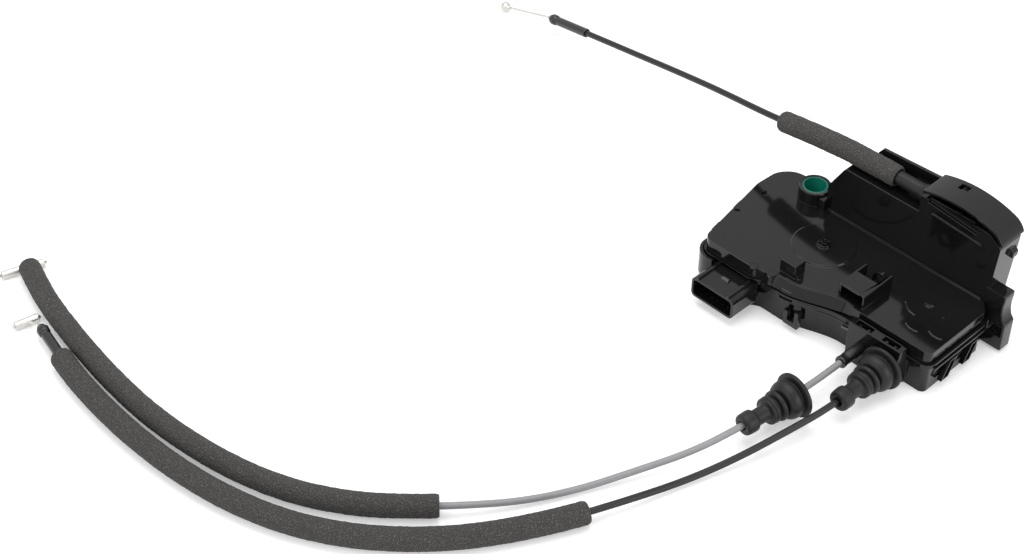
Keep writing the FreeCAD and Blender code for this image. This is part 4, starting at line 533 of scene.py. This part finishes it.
def tray_front(x):
    """The tray's real front, which bows in one smooth curve."""
    curve = -12.0 + 11.2 * eased(x, -110.0, -66.0)
    near_socket = eased(x, -133.0, -124.0)
    near_block = eased(x, -62.0, -57.0)
    return drawn_front(x) + (curve - drawn_front(x)) * near_socket * (1 - near_block)


def cover_front(x, z):
    """The cover's real front: its skirt leans back from the foot to the top edge."""
    foot = -15.6 + 1.4 * eased(x, -124.0, -110.0) + 12.4 * eased(x, -108.0, -62.0)
    top = -14.7 + 5.1 * eased(x, -119.0, -114.0) + 11.4 * eased(x, -104.0, -66.0)
    curve = foot + (top - foot) * held(z, SKIRT_LOW, SKIRT_HIGH)
    near_socket = eased(x, -131.0, -125.0)
    near_block = eased(x, -74.0, -57.0)
    return drawn_front(x) + (curve - drawn_front(x)) * near_socket * (1 - near_block)


def rounded_corner(x, y):
    """Draw in the far left corner, which is rounder than the rest of the outline."""
    share = eased(y, 55.0, 80.0) * (1 - eased(x, -172.0, -156.0))
    return x + CORNER_X * share, y - CORNER_Y * share


def scored(stops, way):
    """Cut through the piece that is being edited at some drawn distances along a direction."""
    for stop in stops:
        bpy.ops.mesh.select_all(action="SELECT")
        bpy.ops.mesh.bisect(plane_co=at(*(stop * step for step in way)), plane_no=way)


def sliced(skin):
    """Give the front wall upright cuts to bend at."""
    alone(skin)
    bpy.ops.object.mode_set(mode="EDIT")
    scored(range(-132, -54, CUT_STEP), (1, 0, 0))
    bpy.ops.object.mode_set(mode="OBJECT")


def block(name, low, high):
    """A cube from one drawn corner to the other."""
    bpy.ops.object.select_all(action="DESELECT")
    middle = [(a + b) / 2 for a, b in zip(low, high)]
    bpy.ops.mesh.primitive_cube_add(size=1, location=at(*middle),
                                    scale=[(b - a) / 1000 for a, b in zip(low, high)])
    bpy.ops.object.transform_apply(location=True, rotation=True, scale=True)
    piece = bpy.context.object
    piece.name = name
    piece.data.materials.append(moulding.material)
    return piece


def cut_away(skin, cutter):
    """Take a block out of a piece and merge what the cut leaves on its flat faces."""
    alone(skin)
    trim = skin.modifiers.new("trim", "BOOLEAN")
    trim.object = cutter
    trim.operation = "DIFFERENCE"
    trim.solver = "EXACT"
    bpy.ops.object.modifier_apply(modifier="trim")
    bpy.data.objects.remove(cutter)
    bpy.ops.object.mode_set(mode="EDIT")
    bpy.ops.mesh.select_all(action="SELECT")
    bpy.ops.mesh.remove_doubles(threshold=MERGED)
    bpy.ops.mesh.dissolve_limited(angle_limit=radians(0.5))
    bpy.ops.object.mode_set(mode="OBJECT")


def clear_front(skin, high):
    """Take off what stands proud of the front wall and the right end, up to a height."""
    cutter = block("cutter", (-127.0, -30.0, -2.0), (SLANT_RIGHT, -SHAVED, high))
    for vertex in cutter.data.vertices:
        x, y, z = vertex.co * 1000 - DRAWING_ZERO
        if x < -100 and y > -10:
            vertex.co = at(x, drawn_front(x) - SHAVED, z)
    cut_away(skin, cutter)
    cut_away(skin, block("cutter", (-82.1, -30.0, -2.0), (-56.65, -SHAVED, high)))
    cut_away(skin, block("cutter", (SHAVED, 2.0, -2.0), (20.0, 60.0, high)))


def worn_by_lock(piece):
    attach(piece, "lock_body")
    return piece


tray = merged_copy("housing_base", moulding)
clear_front(tray, 20.9)
sliced(tray)
for vertex in tray.data.vertices:
    x, y, z = vertex.co * 1000 - DRAWING_ZERO
    front = drawn_front(x)
    if x < BLOCK_LEFT and y < front + WALL_DEPTH:
        ledge = y < front - LEDGE_PROUD and z > LEDGE_LOW and x > -130
        y += tray_front(x) - front + (LEDGE_PUSH if ledge else 0.0)
    elif -57.0 < x < -14.9 and y < -0.4 and z > 24.0:
        z += BLOCK_RISE
    elif -20.0 < x < -14.9 and y < -5.0 and z < 12.0:
        x -= 5.0
    x, y = rounded_corner(x, y)
    vertex.co = at(x, y, z)
soften(tray, EDGE)
worn_by_lock(tray)
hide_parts("housing_base")

cover = merged_copy("actuator_cover", moulding)
clear_front(cover, 29.3)
sliced(cover)
for vertex in cover.data.vertices:
    x, y, z = vertex.co * 1000 - DRAWING_ZERO
    depth = ROOF_DEPTH if z > ROOF_LOW else SKIRT_DEPTH
    if x < BLOCK_LEFT and y < drawn_front(x) + depth:
        y += cover_front(x, z) - drawn_front(x)
    x, y = rounded_corner(x, y)
    vertex.co = at(x, y, z)
soften(cover, EDGE)
worn_by_lock(cover)
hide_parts("actuator_cover")


# Ledges, hook and tongues of the tray: two thin ribs run along the bowed front and two along the
# right end. The hook under them holds the harness, and the leaning tongues snap over the cover.
def pick_faces(piece, wanted):
    """Select the faces that a test on their middle and direction wants, and no others."""
    bpy.ops.mesh.select_mode(type="FACE")
    bpy.ops.mesh.select_all(action="DESELECT")
    bpy.ops.object.mode_set(mode="OBJECT")
    for face in piece.data.polygons:
        face.select = wanted(face.center * 1000 - DRAWING_ZERO, face.normal)
    bpy.ops.object.mode_set(mode="EDIT")


RIB_EDGE = 0.0003


def front_strip(name, line, low, high, thickness):
    """A strip along the bowed front. The line gives its front edge."""
    x, y = line[0]
    strip = block(name, (x - 0.6, y, low), (x, y + thickness, high))
    bpy.ops.object.mode_set(mode="EDIT")
    pick_faces(strip, lambda middle, way: way.x > 0.9)
    for (x, y), (next_x, next_y) in zip(line, line[1:]):
        pulled(next_x - x, next_y - y, 0)
    bpy.ops.object.mode_set(mode="OBJECT")
    soften(strip, RIB_EDGE)
    return worn_by_lock(strip)


UPPER_PROUD, LOWER_PROUD = 2.6, 3.0
BEAD_LOW, BEAD_HIGH, BEAD_SET_BACK, BEAD_THICKNESS = 34.2, 34.9, 0.8, 0.9
stops = list(range(-124, -56, CUT_STEP)) + [-57]
front_strip("front_ledge_upper", [(x, tray_front(x) - UPPER_PROUD) for x in stops], 24.2, 25.6,
            UPPER_PROUD)
front_strip("front_ledge_lower", [(x, tray_front(x) - LOWER_PROUD) for x in stops], 20.9, 22.2,
            LOWER_PROUD)
bead_line = [(x, cover_front(x, SKIRT_HIGH) + BEAD_SET_BACK) for x in stops if -112 < x < -60]
front_strip("cover_bead", bead_line, BEAD_LOW, BEAD_HIGH, BEAD_THICKNESS)
for name, low, high, proud in (("right_ledge_upper", 24.2, 25.6, 2.4),
                               ("right_ledge_lower", 20.6, 22.0, 3.2)):
    rib = block(name, (-0.4, 4.4, low), (proud, 56.6, high))
    soften(rib, RIB_EDGE)
    worn_by_lock(rib)

GAP_LEFT, GAP_RIGHT = -99.8, -94.4
hook = block("harness_hook", (-103.2, -15.4, 4.2), (-91.4, -11.4, 8.4))
bpy.ops.object.mode_set(mode="EDIT")
scored((GAP_LEFT, GAP_RIGHT), (1, 0, 0))
pick_faces(hook, lambda middle, way: way.z > 0.9 and middle.x < GAP_LEFT)
pulled(0, 0, 7.0)
pick_faces(hook, lambda middle, way: way.z > 0.9 and middle.x > GAP_RIGHT)
pulled(0, 0, 9.5)
bpy.ops.object.mode_set(mode="OBJECT")
soften(hook, 0.0004)
worn_by_lock(hook)

TONGUE_LEAN, TONGUE_RIM, TONGUE_PITCH = 0.0075, 0.0012, 0.0225
tongue = block("tongue_1", (-0.2, 13.5, 4.6), (3.4, 21.0, 18.6))
bpy.ops.object.mode_set(mode="EDIT")
pick_faces(tongue, lambda middle, way: way.z > 0.9)
bpy.ops.transform.translate(value=(0, TONGUE_LEAN, 0))
pick_faces(tongue, lambda middle, way: way.x > 0.9)
bpy.ops.mesh.inset(thickness=TONGUE_RIM)
pulled(-2.2, 0, 0)
bpy.ops.object.mode_set(mode="OBJECT")
soften(tongue, RIB_EDGE)
worn_by_lock(tongue)
twin = tongue.copy()
twin.data = tongue.data.copy()
twin.name = "tongue_2"
twin.data.transform(Matrix.Translation((0, TONGUE_PITCH, 0)))
bpy.context.scene.collection.objects.link(twin)
worn_by_lock(twin)


# Latch housing: the upright behind the tray, of the same black moulding. The wing on its right
# is a box with a shallow pocket and a rounded lug above it, which steadies the lock in the door.
upright = merged_copy("latch_housing", moulding)
cut_away(upright, block("cutter", (-4.9, 60.0, -2.0), (30.0, 74.5, 48.0)))
soften(upright, EDGE)
worn_by_lock(upright)
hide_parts("latch_housing")

WING_LEFT, WING_RIGHT = -7.5, 11.2
POCKET_LEFT, POCKET_RIGHT, POCKET_LOW, POCKET_HIGH = -1.2, 9.0, 13.6, 21.2
WING_STEPS = [(1.2, 10.6), (2.0, 8.9), (4.5, 7.6), (5.5, 7.3), (6.5, 7.9), (3.2, 7.6)]
wing = block("latch_wing", (WING_LEFT, 65.6, 2.0), (WING_RIGHT, 76.0, 23.8))
bpy.ops.object.mode_set(mode="EDIT")
scored((POCKET_LEFT, POCKET_RIGHT), (1, 0, 0))
scored((POCKET_LOW, POCKET_HIGH), (0, 0, 1))
pick_faces(wing, lambda middle, way: way.z > 0.9)
right = WING_RIGHT
for rise, new_right in WING_STEPS:
    pulled(0, 0, rise)
    share = (new_right - WING_LEFT) / (right - WING_LEFT)
    bpy.ops.transform.resize(value=(share, 1, 1), center_override=at(WING_LEFT, 66, 30))
    right = new_right
pick_faces(wing, lambda middle, way: way.y < -0.9 and POCKET_LEFT < middle.x < POCKET_RIGHT
           and POCKET_LOW < middle.z < POCKET_HIGH)
pulled(0, 3.2, 1.2)
bpy.ops.transform.resize(value=(0.75, 1, 0.6))
bpy.ops.object.mode_set(mode="OBJECT")
soften(wing, 0.0009)
worn_by_lock(wing)


# Cable hood and connector shroud: two more mouldings of the same black. The hood is snapped over
# the outside handle's cable, and the shroud is welded into the front of the tray.
for name in ("cable_hood", "connector_shroud"):
    dressed(name, moulding, edge=EDGE, angle=30)


# Seal and bumper: a thin rubber ring that lies between tray and cover, and the rubber stop that
# the striker meets.
def paint(names, finish):
    for name in names:
        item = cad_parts[name]
        item.data.materials.clear()
        item.data.materials.append(finish.material)


paint(["cover_seal", "striker_bumper"], rubber)


# Key coupler: a cup of green glass-filled nylon that takes the rod of the lock cylinder. Its rim
# is worn pale, and it turns in a black collar on the cover's boss.
green = Finish("green_nylon", Roughness=0.3)
streak = green.speckle(0.004)
green.set("Base Color", green.blend(streak, (0.002, 0.13, 0.09), (0.004, 0.22, 0.16)))
green.raise_by(streak, 0.00006, 0.5)

KEY_X, KEY_Y = -150.0, 69.0
RIM_REACH, RIM_SHARE = 9.0, 8.7 / 9.7
CUP_REACH, CUP_SHARE = 8.45, 7.7 / 8.4
coupler = merged_copy("key_coupler", green)
for vertex in coupler.data.vertices:
    x, y, z = vertex.co * 1000 - DRAWING_ZERO
    reach = ((x - KEY_X) ** 2 + (y - KEY_Y) ** 2) ** 0.5
    share = 1.0
    if reach > RIM_REACH:
        share = RIM_SHARE
    elif z > 44.0 and reach < CUP_REACH:
        share = CUP_SHARE
    vertex.co = at(KEY_X + (x - KEY_X) * share, KEY_Y + (y - KEY_Y) * share, z)
soften(coupler, 0.0002, 50)
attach(coupler, "key_coupler")
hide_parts("key_coupler")

COLLAR_SIDES = 72
COLLAR_RINGS = [(8.85, 0.0), (11.1, 0.0), (11.1, 1.3), (10.8, 1.75), (9.1, 1.75), (8.85, 1.5)]
collar = moulded("key_collar", COLLAR_RINGS, at(KEY_X, KEY_Y, 42.9), Vector((0, 0, 1)),
                 COLLAR_SIDES, 0)
collar.data.materials.append(moulding.material)
worn_by_lock(collar)

web = block("key_web", (-140.6, 61.4, 34.3), (-135.5, 68.0, 42.8))
soften(web, 0.0008)
worn_by_lock(web)


# Latch plates, claw, pawl, release levers, pins, springs, screws and the drives' motors:
# zinc-plated steel, with the faint cloud that plating leaves.
paint(["face_plate", "latch_back_plate", "claw", "pawl", "claw_pin", "pawl_pin", "claw_spring",
       "pawl_spring", "outside_release_lever", "outside_lever_pin", "case_screws", "lever_pins",
       "wheel_spindles", "lock_motor", "safe_motor", "inside_release_lever"], plated)


# Worms, terminals and contact strips: drawn brass, bright where it is turned or punched. The
# worms sit on the motors' shafts, and the terminals stand in the shroud.
brass = Finish("drawn_brass", Metallic=1.0, Roughness=0.3)
tarnish = brass.speckle(0.002, 2.0)
brass.set("Base Color", brass.blend(tarnish, (0.52, 0.33, 0.12), (0.7, 0.47, 0.2)))
paint(["connector_terminals", "contact_strips", "lock_worm", "safe_worm"], brass)


# Wheels and levers in the tray: moulded in natural acetal, an oily white plastic that runs on
# steel pins without grease.
acetal = Finish("natural_acetal", Roughness=0.4)
tint = acetal.speckle(0.01, 2.0)
acetal.set("Base Color", acetal.blend(tint, (0.66, 0.65, 0.6), (0.74, 0.73, 0.69)))
paint(["key_lever", "lock_wheel", "safe_wheel", "lock_lever", "safe_lever"], acetal)


# Microswitches: two sealed black switches that stand on the tray's floor and tell the car where
# the levers are.
paint(["microswitches"], fitting)


# Studio: a white floor that keeps the lock's shadow, white air all round, and three soft lamps.
# Camera, mirrors and glass see the floor and the air as plain white.
def either(finish, first, second):
    """One where either of two wires is one."""
    return finish.wire(finish.node("ShaderNodeMath", {"operation": "MAXIMUM"},
                                   {0: first, 1: second}), "Value")


paper = Finish("floor_paper", Base_Color=(0.86, 0.86, 0.86), Roughness=0.9)
seen = paper.node("ShaderNodeLightPath", {}, {})
lit = paper.node("ShaderNodeEmission", {}, {"Color": (1, 1, 1), "Strength": 0.32})
glowing = paper.node("ShaderNodeAddShader", {}, {})
paper.tree.links.new(paper.shader.outputs[0], glowing.inputs[0])
paper.tree.links.new(lit.outputs[0], glowing.inputs[1])
mirrored = either(paper, paper.wire(seen, "Is Glossy Ray"), paper.wire(seen, "Is Transmission Ray"))
watched = either(paper, paper.wire(seen, "Is Camera Ray"), mirrored)
shown = paper.node("ShaderNodeMixShader", {}, {0: watched})
paper.tree.links.new(paper.shader.outputs[0], shown.inputs[1])
paper.tree.links.new(glowing.outputs[0], shown.inputs[2])
paper.tree.links.new(shown.outputs[0], paper.tree.nodes["Material Output"].inputs[0])

FLOOR_SIZE = 12
bpy.ops.object.select_all(action="DESELECT")
bpy.ops.mesh.primitive_plane_add(size=FLOOR_SIZE)
floor = bpy.context.object
floor.name = "floor"
floor.data.materials.append(paper.material)

SKY_LEVEL = 0.6
world = bpy.data.worlds.new("studio")
bpy.context.scene.world = world
world.use_nodes = True
air = world.node_tree
background = air.nodes["Background"]
background.inputs["Color"].default_value = (1, 1, 1, 1)
path = air.nodes.new("ShaderNodeLightPath")
level = air.nodes.new("ShaderNodeMapRange")
level.inputs["To Min"].default_value = SKY_LEVEL
level.inputs["To Max"].default_value = 1.0
plain = path.outputs["Is Camera Ray"]
for ray in ("Is Glossy Ray", "Is Transmission Ray"):
    either_ray = air.nodes.new("ShaderNodeMath")
    either_ray.operation = "MAXIMUM"
    air.links.new(plain, either_ray.inputs[0])
    air.links.new(path.outputs[ray], either_ray.inputs[1])
    plain = either_ray.outputs["Value"]
air.links.new(plain, level.inputs["Value"])
air.links.new(level.outputs["Result"], background.inputs["Strength"])


def soft_lamp(name, place, aim, size, power):
    light = bpy.data.lights.new(name, "AREA")
    light.shape = "RECTANGLE"
    light.size, light.size_y = size
    light.energy = power
    lamp = bpy.data.objects.new(name, light)
    lamp.location = place
    lamp.rotation_euler = (Vector(aim) - Vector(place)).to_track_quat("-Z", "Y").to_euler()
    bpy.context.scene.collection.objects.link(lamp)


soft_lamp("top_lamp", (-0.4, 0.0, 1.5), (-0.4, 0.0001, 0), (1.6, 1.0), 14)
soft_lamp("right_lamp", (1.5, 0.2, 0.7), (0, 0, 0.05), (1.0, 0.9), 9)
soft_lamp("front_lamp", (-0.3, -1.5, 1.0), (0, 0, 0), (1.2, 0.8), 6)
